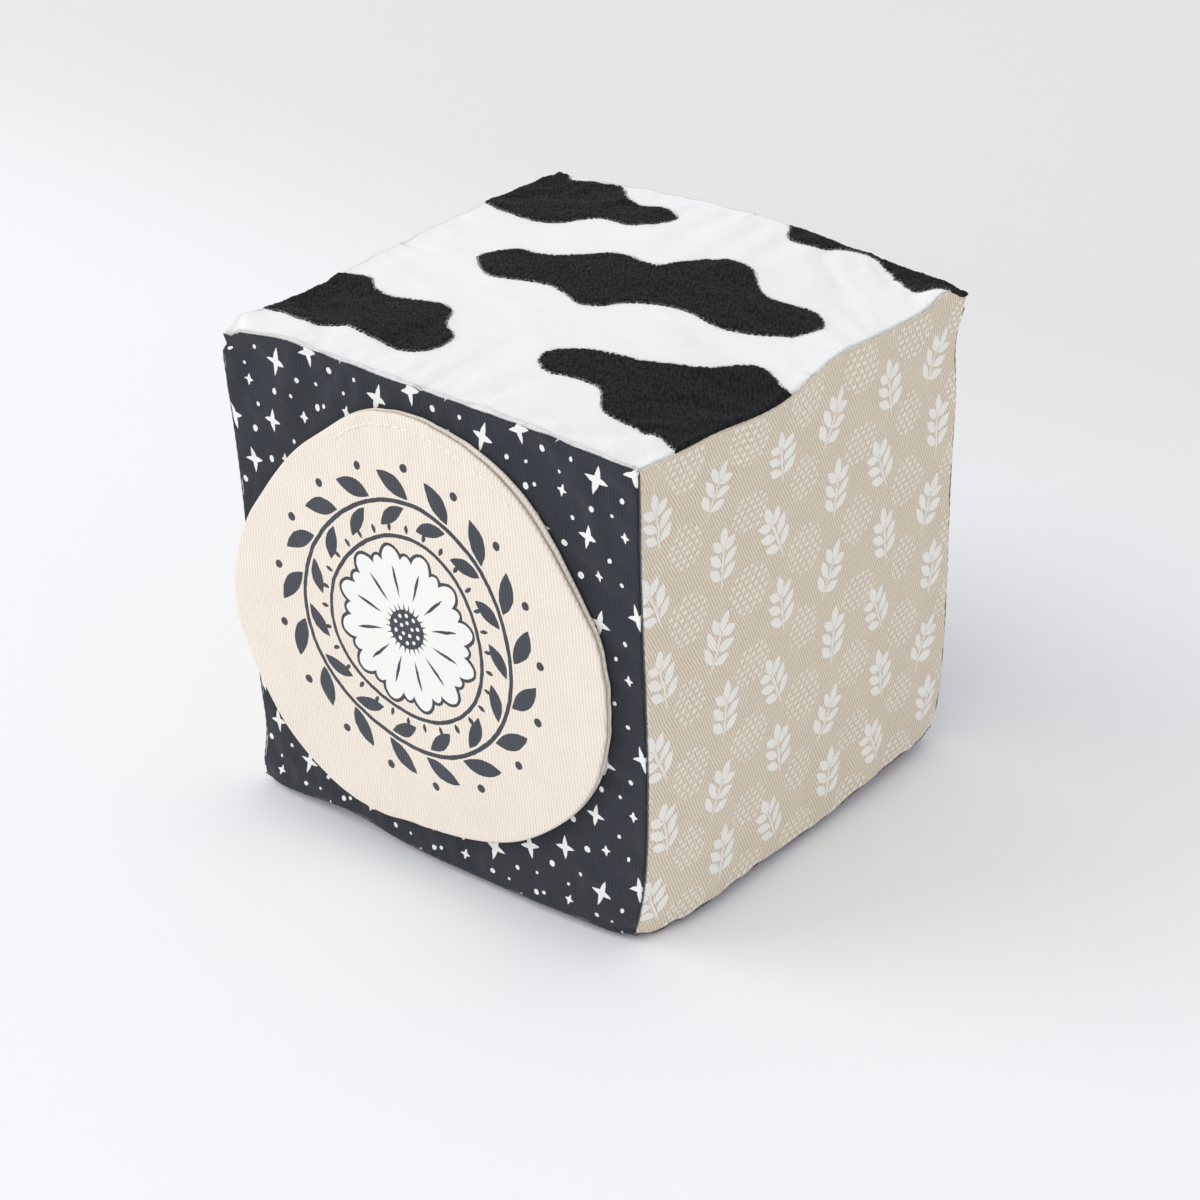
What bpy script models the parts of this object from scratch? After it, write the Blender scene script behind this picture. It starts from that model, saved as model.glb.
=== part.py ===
"""Soft fabric activity block: a foam cube in a sewn cover of six panels, with a lift-up cloth flap.

Metres, +Z up. The origin is the middle of the flat patch that the block rests on, the flap is on
the -Y side and the plush panel is on top. Every piece is modelled on a flat-sided cube, and then
stuffed() moves its points to where the filling pushes them.
"""

from math import copysign, cos, pi, radians, sin, sqrt

import bmesh
import bpy
from mathutils import Matrix, Vector

# Cover, measured from seam to seam
EDGE = 0.130
TWILL = 0.0007
PLUSH = 0.0008
FOLD_ROOM = 0.0002
SEAM_ALLOWANCE = 0.006
SEAM_GAP = 0.0003
PANEL_CELLS = 8
FOLD_STEPS = 3

# Filling and the shape that it gives the cover
CORE_GAP = 0.0005
TOP_CROWN = 0.0015
SIDE_CROWN = 0.0020
BOTTOM_CROWN = 0.0015
FLAT_DEPTH = 0.0007
SEAM_BOW = 0.0008
TOP_CORNER_OUT = 0.0012
BOTTOM_CORNER_IN = 0.0015
RIM_POWER = 4

# Embroidered patches on the top panel
PATCH_GAP = 0.0003
EMBROIDERY = 0.0006
PATCH_MARGIN = 0.0004
PATCH_STEPS = 4

# Flap on the front panel
FLAP_RADIUS = 0.0600
FLAP_ASIDE = -0.0025
FLAP_ABOVE = 0.0028
FLAP_CLOTH = 0.0005
FLAP_FOLD_ROOM = 0.000125
FLAP_ALLOWANCE = 0.004
FLAP_GAP = 0.0003
FLAP_SEWN_DEPTH = 0.0160
HINGE_HEIGHT = FLAP_ABOVE + FLAP_RADIUS - FLAP_SEWN_DEPTH
HINGE_GAP = 0.0003
FLAP_POINTS = 48
HEM_STEPS = 4
TOPSTITCH_INSET = 0.0032

# Threads
THREAD = 0.0002
TOPSTITCH_THREAD = 0.0002
FLAP_THREAD = 0.00015
CLOSING_THREAD = 0.0003
THREAD_GAP = 0.00015
CLOSING_LENGTH = 0.070
THREAD_STEPS = 8

CUTTER_OVERRUN = 0.010

HALF = EDGE / 2
DIAGONAL = 1 / sqrt(2)

# Outlines of the patches, as shares of the top panel's width and depth from its front left corner
PATCH_OUTLINE_SHARES = {
    "top_patch_middle": [
        (0.19, 0.57), (0.28, 0.625), (0.39, 0.70), (0.48, 0.705), (0.54, 0.785), (0.62, 0.81),
        (0.72, 0.73), (0.86, 0.70), (0.92, 0.645), (0.87, 0.57), (0.77, 0.545), (0.65, 0.573),
        (0.56, 0.55), (0.48, 0.485), (0.37, 0.515), (0.25, 0.49),
    ],
    "top_patch_front": [
        (0.61, 0.32), (0.74, 0.35), (0.83, 0.40), (0.91, 0.46), (0.99, 0.425), (1.08, 0.40),
        (1.08, 0.08), (0.95, 0.115), (0.82, 0.12), (0.75, 0.185), (0.62, 0.20), (0.585, 0.26),
    ],
    "top_patch_left": [
        (-0.08, 0.37), (0.06, 0.35), (0.15, 0.30), (0.26, 0.325), (0.34, 0.25), (0.39, 0.19),
        (0.35, 0.115), (0.22, 0.14), (0.11, 0.095), (-0.08, 0.09),
    ],
    "top_patch_back_left": [
        (-0.08, 0.78), (-0.08, 1.08), (0.17, 1.06), (0.22, 0.945), (0.29, 0.94), (0.355, 0.925),
        (0.33, 0.86), (0.24, 0.847), (0.16, 0.78), (0.07, 0.77),
    ],
    "top_patch_back_right": [
        (0.58, 1.06), (0.605, 0.98), (0.65, 0.96), (0.70, 0.968), (0.76, 0.973), (0.82, 0.968),
        (0.88, 0.95), (0.94, 0.935), (0.985, 0.922), (1.08, 0.93), (1.08, 1.08),
    ],
}  # fmt: skip

# The flap's radius at even steps round it, anticlockwise from its right, as shares of FLAP_RADIUS
FLAP_OUTLINE_SHARES = (
    1.024, 1.006, 0.962, 0.957, 0.965, 0.953, 0.95, 0.932, 0.883, 0.875, 0.88, 0.925,
    0.975, 1.015, 1.011, 1.03, 1.024, 0.989, 0.943, 0.947, 0.979, 1.008, 1.037, 1.039,
)  # fmt: skip

ACROSS = (Vector((1, 0, 0)), Vector((0, 1, 0)))
TOP = Matrix.Identity(3)
BOTTOM = Matrix.Rotation(pi, 3, "X")
FRONT, RIGHT, BACK, LEFT = (
    Matrix.Rotation(quarter * pi / 2, 3, "Z") @ Matrix.Rotation(pi / 2, 3, "X")
    for quarter in range(4)
)


def fold_radius(cloth):
    return cloth + FOLD_ROOM


def face_height(cloth):
    """How far a panel's flat face lies from the cube's centre before it is stuffed."""
    radius = fold_radius(cloth)
    return HALF + (SEAM_GAP / 2 + radius) * DIAGONAL + radius


REST = face_height(TWILL) + BOTTOM_CROWN - FLAT_DEPTH
CENTRE = Vector((0, 0, REST))
HEM_RADIUS = FLAP_CLOTH + FLAP_FOLD_ROOM
FLAP_THICKNESS = 4 * HEM_RADIUS + SEAM_GAP
FLAP_BACK = face_height(TWILL) + FLAP_GAP
FLAP_FRONT = FLAP_BACK + FLAP_THICKNESS


def dome(share):
    """1 at the middle of a face, 0 at its seams."""
    return max(0.0, 1 - share * share)


def rim(share):
    """0 at the middle of a face, 1 at its seams."""
    return min(1.0, abs(share)) ** RIM_POWER


def stuffed(point):
    """Where the filling moves a point of the flat-sided cube, measured from the cube's centre."""
    share = [along / HALF for along in point]
    above = point[2] > 0
    corner = TOP_CORNER_OUT if above else -BOTTOM_CORNER_IN
    corner *= rim(share[0]) * rim(share[1]) * rim(share[2])
    moved = Vector()
    for axis in range(3):
        one, two = share[axis - 1], share[axis - 2]
        push = SEAM_BOW * (dome(one) * rim(two) + dome(two) * rim(one)) + corner
        if axis == 2 and not above:  # pressed flat over a square by what it rests on
            push += BOTTOM_CROWN * dome(max(abs(one), abs(two)))
            push = min(push, BOTTOM_CROWN - FLAT_DEPTH)
        else:
            push += (TOP_CROWN if axis == 2 else SIDE_CROWN) * dome(one) * dome(two)
        depth = min(1.0, abs(share[axis])) ** 2
        moved[axis] = point[axis] + copysign(1, point[axis]) * push * depth
    return moved


def hinge_point():
    """The hinge's middle: on the flap's outer surface, where the sewn edge ends."""
    return stuffed(Vector((FLAP_ASIDE, -FLAP_FRONT, HINGE_HEIGHT)))


def material(name, colour, roughness):
    made = bpy.data.materials.new(name)
    made.use_nodes = True
    shader = made.node_tree.nodes["Principled BSDF"]
    shader.inputs["Base Color"].default_value = (*colour, 1)
    shader.inputs["Roughness"].default_value = roughness
    shader.inputs["Metallic"].default_value = 0
    return made


def collection(name):
    made = bpy.data.collections.new(name)
    bpy.context.scene.collection.children.link(made)
    return made


def add_object(name, data, group):
    obj = bpy.data.objects.new(name, data)
    group.objects.link(obj)
    return obj


def mesh_object(name, bm, group):
    mesh = bpy.data.meshes.new(name)
    bm.to_mesh(mesh)
    bm.free()
    return add_object(name, mesh, group)


def made_real(obj):
    """The object with its modifiers, or its curve, turned into a plain closed mesh."""
    graph = bpy.context.evaluated_depsgraph_get()
    mesh = bpy.data.meshes.new_from_object(obj.evaluated_get(graph))
    name, group, place = obj.name, obj.users_collection[0], obj.matrix_world.copy()
    bpy.data.objects.remove(obj)
    bm = bmesh.new()
    bm.from_mesh(mesh)
    bpy.data.meshes.remove(mesh)
    bm.transform(place)
    bmesh.ops.remove_doubles(bm, verts=bm.verts, dist=THREAD_GAP / 100)
    return mesh_object(name, bm, group)


def stuff(obj, turn):
    """Turns a piece that was modelled flat to its side of the cube, and stuffs it."""
    for vertex in obj.data.vertices:
        vertex.co = stuffed(turn @ vertex.co)
    obj.location = CENTRE
    obj.data.shade_smooth()
    obj.data.set_sharp_from_angle(angle=radians(50))


def finish(obj, colour, roughness=0.9):
    obj.data.materials.clear()
    obj.data.materials.append(material(obj.name, colour, roughness))
    return obj


def cell_planes(half):
    """Where the lines that follow the stuffed shape cross a face of this half width."""
    return [half * (2 * k / PANEL_CELLS - 1) for k in range(1, PANEL_CELLS)]


def slice_faces(bm, planes, axes, cap_only=False):
    """Cuts the faces, or only the first one, along planes square to each axis, so that they can bend."""
    layer = bm.faces.layers.int.new("sliced")
    bm.faces.ensure_lookup_table()
    for face in bm.faces[:1] if cap_only else bm.faces:
        face[layer] = 1
    for axis in axes:
        for place in planes:
            chosen = [face for face in bm.faces if face[layer]]
            edges = {edge for face in chosen for edge in face.edges}
            corners = {vertex for face in chosen for vertex in face.verts}
            bmesh.ops.bisect_plane(
                bm,
                geom=[*corners, *edges, *chosen],
                dist=THREAD_GAP / 100,
                plane_co=axis * place,
                plane_no=axis,
            )


def slice_object(obj, planes, axes):
    bm = bmesh.new()
    bm.from_mesh(obj.data)
    slice_faces(bm, planes, axes)
    bm.to_mesh(obj.data)
    bm.free()


def loft(rings, planes):
    """A skin through rings of points, from a sliced cap on the first ring to the open last one."""
    bm = bmesh.new()
    loops = [[bm.verts.new(point) for point in ring] for ring in rings]
    bm.faces.new(loops[0])
    for upper, lower in zip(loops, loops[1:]):
        for k in range(len(upper)):
            bm.faces.new((upper[k - 1], lower[k - 1], lower[k], upper[k]))
    slice_faces(bm, planes, ACROSS, cap_only=True)
    return bm


def solidify(obj, thickness):
    shell = obj.modifiers.new("cloth", "SOLIDIFY")
    shell.thickness = thickness
    shell.offset = -1
    shell.use_even_offset = True
    return made_real(obj)


def flat_half(cloth):
    """Half the width of a panel's face, up to where it starts to turn into the seams."""
    return HALF - (SEAM_GAP / 2 + fold_radius(cloth)) * DIAGONAL


def panel_profile(cloth):
    """(half width, height) of the rings on a panel's outer side: face, fold, seam allowance."""
    radius, gap = fold_radius(cloth), SEAM_GAP / 2
    level = face_height(cloth) - radius
    turns = [radians(90 - 135 * k / FOLD_STEPS) for k in range(FOLD_STEPS + 1)]
    fold = [(flat_half(cloth) + radius * cos(turn), level + radius * sin(turn)) for turn in turns]
    end = HALF - (SEAM_ALLOWANCE + gap) * DIAGONAL
    return [*fold, (end, end + 2 * gap * DIAGONAL)]


def square_ring(half, height):
    side = [Vector((2 * half * k / PANEL_CELLS - half, -half, height)) for k in range(PANEL_CELLS)]
    quarters = [Matrix.Rotation(quarter * pi / 2, 3, "Z") for quarter in range(4)]
    return [quarter @ point for quarter in quarters for point in side]


def add_panel(name, turn, cloth, colour, group):
    """One side of the cover: its face and the allowances that turn in along the cube's mitres."""
    rings = [square_ring(half, height) for half, height in panel_profile(cloth)]
    skin = mesh_object(name, loft(rings, cell_planes(flat_half(cloth))), group)
    panel = solidify(skin, cloth)
    stuff(panel, turn)
    return finish(panel, colour)


def core_half(cloth):
    return face_height(cloth) - cloth - CORE_GAP


def add_core(group):
    """The foam, its edges pared off to leave room for the allowances."""
    side, top = core_half(TWILL), core_half(PLUSH)
    pared = 2 * max(side, top) - 2 * HALF + (SEAM_ALLOWANCE + CORE_GAP) / DIAGONAL
    bm = bmesh.new()
    bmesh.ops.create_cube(bm, size=2 * side)
    for vertex in bm.verts:
        vertex.co.z += max(0.0, copysign(top - side, vertex.co.z))
    core = mesh_object("foam_core", bm, group)
    bevel = core.modifiers.new("pared edges", "BEVEL")
    bevel.width = pared
    bevel.segments = 1
    core = made_real(core)
    slice_object(core, cell_planes(flat_half(TWILL)), Matrix.Identity(3))
    stuff(core, TOP)
    return finish(core, (0.86, 0.80, 0.62))


def add_tube(name, points, radius, colour, group, closed=False):
    """A thread through points that are already stuffed."""
    curve = bpy.data.curves.new(name, "CURVE")
    curve.dimensions = "3D"
    curve.bevel_depth = radius
    curve.bevel_resolution = 1
    curve.use_fill_caps = not closed
    spline = curve.splines.new("POLY")
    spline.points.add(len(points) - 1)
    for place, point in zip(spline.points, points):
        place.co = (*point, 1)
    spline.use_cyclic_u = closed
    tube = made_real(add_object(name, curve, group))
    tube.location = CENTRE
    tube.data.shade_smooth()
    return finish(tube, colour, 0.7)


def groove_rise(thread, fold):
    """How far out of the seam line a thread lies in the groove between two folds."""
    return sqrt((fold + thread + THREAD_GAP) ** 2 - (fold + SEAM_GAP / 2) ** 2)


def seam_line(start, end, steps=THREAD_STEPS):
    return [stuffed(start.lerp(end, k / steps)) for k in range(steps + 1)]


def add_seam_threads(group):
    """Upright seams, a closed loop round the top, and one round the bottom that stops at the closing."""
    side = HALF + groove_rise(THREAD, fold_radius(TWILL)) * DIAGONAL
    top = HALF + groove_rise(THREAD, fold_radius(PLUSH)) * DIAGONAL
    last = HALF + groove_rise(CLOSING_THREAD, fold_radius(TWILL)) * DIAGONAL
    clear = HALF - 2 * fold_radius(PLUSH)
    grey = (0.10, 0.10, 0.12)
    uprights = {
        "seam_thread_front_left": (-1, -1),
        "seam_thread_front_right": (1, -1),
        "seam_thread_back_right": (1, 1),
        "seam_thread_back_left": (-1, 1),
    }
    for name, (right, back) in uprights.items():
        foot = Vector((right * side, back * side, -clear))
        head = Vector((right * side, back * side, clear))
        add_tube(name, seam_line(foot, head), THREAD, grey, group)

    corners = [Vector((x, y, 0)) for x, y in ((1, 1), (-1, 1), (-1, -1), (1, -1))]
    ring = [corner * top + Vector((0, 0, top)) for corner in corners]
    sides = zip(ring, ring[1:] + ring[:1])
    loop = [point for start, end in sides for point in seam_line(start, end)[:-1]]
    add_tube("seam_thread_top", loop, THREAD, (0.85, 0.85, 0.84), group, closed=True)

    half = CLOSING_LENGTH / 2
    stop = half + THREAD_GAP
    path = [corner * side for corner in corners]
    path = [Vector((-stop, side, 0)), *path[1:], path[0], Vector((stop, side, 0))]
    path = [point - Vector((0, 0, side)) for point in path]
    legs = [seam_line(start, end) for start, end in zip(path, path[1:])]
    points = [legs[0][0], *(point for leg in legs for point in leg[1:])]
    add_tube("seam_thread_bottom", points, THREAD, grey, group)
    ends = Vector((-half, last, -last)), Vector((half, last, -last))
    add_tube("closing_stitch", seam_line(*ends), CLOSING_THREAD, (0.16, 0.15, 0.17), group)


def flat_plate(name, outline, steps, level, thickness, group):
    """A plate with a smooth outline, lying flat at the level of its underside."""
    curve = bpy.data.curves.new(name, "CURVE")
    curve.dimensions = "2D"
    curve.fill_mode = "BOTH"
    curve.extrude = thickness / 2
    curve.resolution_u = steps
    spline = curve.splines.new("BEZIER")
    spline.bezier_points.add(len(outline) - 1)
    spline.use_cyclic_u = True
    for knot, (x, y) in zip(spline.bezier_points, outline):
        knot.co = (x, y, 0)
        knot.handle_left_type = knot.handle_right_type = "AUTO"
    plate = add_object(name, curve, group)
    plate.location.z = level + thickness / 2
    bpy.context.view_layer.update()
    return made_real(plate)


def add_box(name, low, high, group):
    bm = bmesh.new()
    bmesh.ops.create_cube(bm, size=1)
    size = high - low
    bm.transform(Matrix.Translation((low + high) / 2) @ Matrix.Diagonal((*size, 1)))
    box = mesh_object(name, bm, group)
    box.hide_render = True
    box.display_type = "WIRE"
    return box


def cut(obj, cutter, operation):
    boolean = obj.modifiers.new(cutter.name, "BOOLEAN")
    boolean.operation = operation
    boolean.object = cutter
    boolean.solver = "EXACT"
    return made_real(obj)


def add_patches(group, cutters):
    """Areas of thick stitching on the plush. Those that meet a seam stop where the plush turns down."""
    level = face_height(PLUSH) + PATCH_GAP
    edge = flat_half(PLUSH) - PATCH_MARGIN
    low = Vector((-edge, -edge, level - CUTTER_OVERRUN))
    high = Vector((edge, edge, level + CUTTER_OVERRUN))
    window = add_box("patch_window", low, high, cutters)
    for name, shares in PATCH_OUTLINE_SHARES.items():
        outline = [(EDGE * u - HALF, EDGE * v - HALF) for u, v in shares]
        patch = flat_plate(name, outline, PATCH_STEPS, level, EMBROIDERY, group)
        patch = cut(patch, window, "INTERSECT")
        slice_object(patch, cell_planes(flat_half(PLUSH)), ACROSS)
        stuff(patch, TOP)
        finish(patch, (0.012, 0.013, 0.014), 0.85)


def flap_radius(turn):
    """The flap's radius at a share of a full turn, on a smooth curve through its outline's shares."""
    count = len(FLAP_OUTLINE_SHARES)
    before = int(turn * count)
    t = turn * count - before
    p0, p1, p2, p3 = (FLAP_OUTLINE_SHARES[(before + k) % count] for k in (-1, 0, 1, 2))
    curved = 2 * p1 + (p2 - p0) * t + (2 * p0 - 5 * p1 + 4 * p2 - p3) * t**2
    curved += (3 * p1 - p0 - 3 * p2 + p3) * t**3
    return FLAP_RADIUS * curved / 2


def flap_place(turn, inset, level):
    """A point on the flap at a share of a full turn, this far in from its edge, before the front is turned up."""
    reach = flap_radius(turn % 1) - inset
    angle = 2 * pi * turn
    return Vector((FLAP_ASIDE + reach * cos(angle), FLAP_ABOVE + reach * sin(angle), level))


def flap_ring(inset, level):
    return [flap_place(k / FLAP_POINTS, inset, level) for k in range(FLAP_POINTS)]


def flap_planes():
    """The front panel's own lines, on both sides as far as the flap reaches."""
    return cell_planes(flat_half(TWILL))


def flap_skin(name, outer, inward, group):
    """One cloth of the flap: its face, the fold at its edge and the allowance turned in behind it."""
    turns = [pi * k / HEM_STEPS for k in range(HEM_STEPS + 1)]
    rings = [
        flap_ring(HEM_RADIUS * (1 - sin(turn)), outer - inward * HEM_RADIUS * (1 - cos(turn)))
        for turn in turns
    ]
    rings.append(flap_ring(HEM_RADIUS + FLAP_ALLOWANCE, outer - inward * 2 * HEM_RADIUS))
    if inward < 0:
        rings = [list(reversed(ring)) for ring in rings]
    return solidify(mesh_object(name, loft(rings, flap_planes()), group), FLAP_CLOTH)


def flap_lining(name, group):
    level = FLAP_BACK + FLAP_CLOTH + FLAP_GAP
    inset = HEM_RADIUS + FLAP_ALLOWANCE + FLAP_GAP
    outline = [point.xy for point in flap_ring(inset, level)]
    thickness = FLAP_THICKNESS - 2 * (FLAP_CLOTH + FLAP_GAP)
    lining = flat_plate(name, outline, 1, level, thickness, group)
    slice_object(lining, flap_planes(), ACROSS)
    return lining


def add_flap(group, cutters):
    """Two cloths and a lining, each in two pieces: the sewn edge above the hinge, and the free flap."""
    reach = 2 * FLAP_RADIUS
    shallow, deep = FLAP_BACK - CUTTER_OVERRUN, FLAP_FRONT + CUTTER_OVERRUN
    split = HINGE_GAP / 2
    below = Vector((-reach, -reach, shallow)), Vector((reach, HINGE_HEIGHT + split, deep))
    above = Vector((-reach, HINGE_HEIGHT - split, shallow)), Vector((reach, reach, deep))
    cutter = {
        "_sewn_edge": add_box("flap_cut_below", *below, cutters),
        "": add_box("flap_cut_above", *above, cutters),
    }
    pieces = {
        "flap_face": lambda name: flap_skin(name, FLAP_FRONT, 1, group),
        "flap_lining": lambda name: flap_lining(name, group),
        "flap_backing": lambda name: flap_skin(name, FLAP_BACK, -1, group),
    }
    colours = {
        "flap_face": (0.78, 0.70, 0.62),
        "flap_lining": (0.85, 0.84, 0.80),
        "flap_backing": (0.74, 0.66, 0.58),
    }
    for name, build in pieces.items():
        for part, box in cutter.items():
            piece = cut(build(name + part), box, "DIFFERENCE")
            stuff(piece, FRONT)
            finish(piece, colours[name])


def add_flap_threads(group):
    """The thread round the flap's edge, in two lengths, and the topstitch that sews it to the block."""
    turns = [k / FLAP_POINTS for k in range(FLAP_POINTS)]
    middle = FLAP_BACK + FLAP_THICKNESS / 2
    rise = groove_rise(FLAP_THREAD, HEM_RADIUS)
    cream = (0.80, 0.74, 0.66)

    def sewn(turn):
        return flap_place(turn, 0, middle).y > HINGE_HEIGHT + FLAP_GAP

    def free(turn):
        return flap_place(turn, 0, middle).y < HINGE_HEIGHT - FLAP_GAP

    def points(chosen, inset, level):
        return [stuffed(FRONT @ flap_place(turn, inset, level)) for turn in chosen]

    head = [turn for turn in turns if sewn(turn)]
    first = max(turn for turn in turns if turn < head[-1] + 0.5 and sewn(turn))
    rest = [turn for turn in sorted((turn - first) % 1 for turn in turns) if free(turn + first)]
    rest = [turn + first for turn in rest]
    inset = HEM_RADIUS - rise
    add_tube("flap_edge_thread_sewn_edge", points(head, inset, middle), FLAP_THREAD, cream, group)
    add_tube("flap_edge_thread", points(rest, inset, middle), FLAP_THREAD, cream, group)
    level = FLAP_FRONT + TOPSTITCH_THREAD + THREAD_GAP
    stitched = [turn for turn in head if flap_place(turn, TOPSTITCH_INSET, level).y > HINGE_HEIGHT]
    stitched = points(stitched, TOPSTITCH_INSET, level)
    add_tube("flap_topstitch", stitched, TOPSTITCH_THREAD, (0.92, 0.89, 0.84), group)


def hang_flap(group):
    """Parents the free flap's pieces to an empty on the hinge."""
    hinge = add_object("flap_hinge", None, group)
    hinge.location = CENTRE + hinge_point()
    for name in ("flap_face", "flap_lining", "flap_backing", "flap_edge_thread"):
        piece = bpy.data.objects[name]
        piece.data.transform(Matrix.Translation(-hinge_point()))
        piece.parent = hinge
        piece.location = Vector()


def main():
    for obj in list(bpy.data.objects):
        bpy.data.objects.remove(obj)
    parts = collection("soft_fabric_block")
    cutters = collection("cutters")
    add_core(parts)
    add_panel("top_panel", TOP, PLUSH, (0.90, 0.90, 0.90), parts)
    add_panel("front_panel", FRONT, TWILL, (0.040, 0.047, 0.060), parts)
    add_panel("right_panel", RIGHT, TWILL, (0.60, 0.52, 0.41), parts)
    add_panel("back_panel", BACK, TWILL, (0.040, 0.047, 0.060), parts)
    add_panel("left_panel", LEFT, TWILL, (0.60, 0.52, 0.41), parts)
    add_panel("bottom_panel", BOTTOM, TWILL, (0.085, 0.070, 0.080), parts)
    add_patches(parts, cutters)
    add_flap(parts, cutters)
    add_seam_threads(parts)
    add_flap_threads(parts)
    hang_flap(parts)


main()
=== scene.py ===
"""Soft fabric activity block, dressed: cover, embroidered patches, plush fringe, flap and stitching."""

from math import cos, pi, radians, sin, sqrt

import bpy
import numpy as np
from mathutils import Matrix, Vector
from mathutils.geometry import delaunay_2d_cdt


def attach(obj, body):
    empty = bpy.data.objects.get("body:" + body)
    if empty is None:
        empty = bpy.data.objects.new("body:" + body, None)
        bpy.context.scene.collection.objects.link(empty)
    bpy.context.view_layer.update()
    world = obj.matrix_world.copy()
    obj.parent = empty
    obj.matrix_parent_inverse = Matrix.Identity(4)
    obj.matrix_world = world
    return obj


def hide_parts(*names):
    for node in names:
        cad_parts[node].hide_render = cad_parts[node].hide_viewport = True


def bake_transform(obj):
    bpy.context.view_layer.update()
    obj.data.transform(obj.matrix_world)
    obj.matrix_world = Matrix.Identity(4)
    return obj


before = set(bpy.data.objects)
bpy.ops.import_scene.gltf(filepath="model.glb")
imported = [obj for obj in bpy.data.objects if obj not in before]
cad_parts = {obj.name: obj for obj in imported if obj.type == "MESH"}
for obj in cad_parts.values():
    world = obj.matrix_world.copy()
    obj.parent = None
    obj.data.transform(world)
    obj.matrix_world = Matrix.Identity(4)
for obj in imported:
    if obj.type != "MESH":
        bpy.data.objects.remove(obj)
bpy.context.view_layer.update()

bl_info = {
    "name": "Soft fabric block",
    "version": (1, 0, 0),
    "blender": (4, 5, 0),
    "location": "3D View > Sidebar > Block",
    "description": "Builds a sewn, foam-filled cloth block with a lift-up flap",
    "category": "Add Mesh",
}

MM = 0.001

# Sizes that the solids have too, in metres
EDGE = 0.130
TWILL = 0.0007
PLUSH = 0.0008
FOLD_ROOM = 0.0002
SEAM_ALLOWANCE = 0.006
SEAM_GAP = 0.0003
CORE_GAP = 0.0005
TOP_CROWN = 0.0015
SIDE_CROWN = 0.0020
BOTTOM_CROWN = 0.0015
FLAT_DEPTH = 0.0007
SEAM_BOW = 0.0008
TOP_CORNER_OUT = 0.0012
BOTTOM_CORNER_IN = 0.0015
RIM_POWER = 4
FLAP_RADIUS = 0.0600
FLAP_ASIDE = -0.0025
FLAP_ABOVE = 0.0028
FLAP_CLOTH = 0.0005
FLAP_FOLD_ROOM = 0.000125
FLAP_ALLOWANCE = 0.004
FLAP_GAP = 0.0003
FLAP_SEWN_DEPTH = 0.0160
TOPSTITCH_INSET = 0.0032
TOPSTITCH_DIVE = 0.34 * MM
TOPSTITCH_THREAD = 0.25 * MM
THREAD = 0.0002
FLAP_THREAD = 0.00015
CLOSING_THREAD = 0.0003
THREAD_GAP = 0.00015
CLOSING_LENGTH = 0.070

HALF = EDGE / 2
DIAGONAL = 1 / sqrt(2)
# The solids need thick cloth. The sewn cover is thinner, and turns tighter into the same seams
COVER_CLOTH = 0.00034
COVER_FOLD = 0.00044
FOLD_TURN = radians(135)
HEM_RADIUS = FLAP_CLOTH + FLAP_FOLD_ROOM
FLAP_THICKNESS = 4 * HEM_RADIUS + SEAM_GAP
HINGE_HEIGHT = FLAP_ABOVE + FLAP_RADIUS - FLAP_SEWN_DEPTH

# The flap's radius at even steps round it, anticlockwise from its right, as shares of FLAP_RADIUS
FLAP_OUTLINE_SHARES = (
    1.024, 1.006, 0.962, 0.957, 0.965, 0.953, 0.95, 0.932, 0.883, 0.875, 0.88, 0.925,
    0.975, 1.015, 1.011, 1.03, 1.024, 0.989, 0.943, 0.947, 0.979, 1.008, 1.037, 1.039,
)  # fmt: skip

# Outlines of the patches, as shares of the top panel's width and depth from its front left corner
PATCH_OUTLINE_SHARES = {
    "top_patch_middle": [
        (0.165, 0.54), (0.205, 0.598), (0.28, 0.602), (0.335, 0.64), (0.40, 0.69), (0.505, 0.685),
        (0.565, 0.775), (0.65, 0.79), (0.75, 0.71), (0.865, 0.71), (0.92, 0.655), (0.875, 0.58),
        (0.777, 0.535), (0.67, 0.55), (0.575, 0.52), (0.505, 0.455), (0.39, 0.49), (0.255, 0.465),
    ],
    "top_patch_front": [
        (0.63, 0.30), (0.755, 0.335), (0.84, 0.385), (0.905, 0.465), (0.99, 0.43), (1.08, 0.40),
        (1.08, 0.095), (0.955, 0.115), (0.83, 0.12), (0.75, 0.195), (0.635, 0.185), (0.59, 0.235),
    ],
    "top_patch_left": [
        (-0.08, 0.28), (-0.02, 0.31), (0.03, 0.33), (0.06, 0.33), (0.10, 0.295), (0.15, 0.28),
        (0.20, 0.29), (0.27, 0.305), (0.315, 0.285), (0.35, 0.23), (0.405, 0.19), (0.41, 0.13),
        (0.375, 0.095), (0.29, 0.095), (0.20, 0.11), (0.13, 0.085), (0.04, 0.10), (-0.08, 0.115),
    ],
    "top_patch_back_left": [
        (-0.08, 0.785), (-0.08, 1.08), (0.0, 1.04), (0.03, 0.995), (0.06, 0.983), (0.118, 0.998),
        (0.163, 0.994), (0.197, 0.968), (0.22, 0.94), (0.265, 0.923), (0.32, 0.93), (0.38, 0.904),
        (0.36, 0.85), (0.325, 0.82), (0.255, 0.82), (0.215, 0.79), (0.175, 0.755), (0.11, 0.742),
        (-0.02, 0.765),
    ],
    "top_patch_back_right": [
        (0.59, 1.07), (0.604, 0.985), (0.628, 0.953), (0.668, 0.95), (0.71, 0.97), (0.75, 0.996),
        (0.80, 1.0), (0.845, 0.982), (0.885, 0.958), (0.93, 0.935), (0.968, 0.927), (1.0, 0.96),
        (1.08, 0.99), (1.08, 1.08),
    ],
}  # fmt: skip

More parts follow.
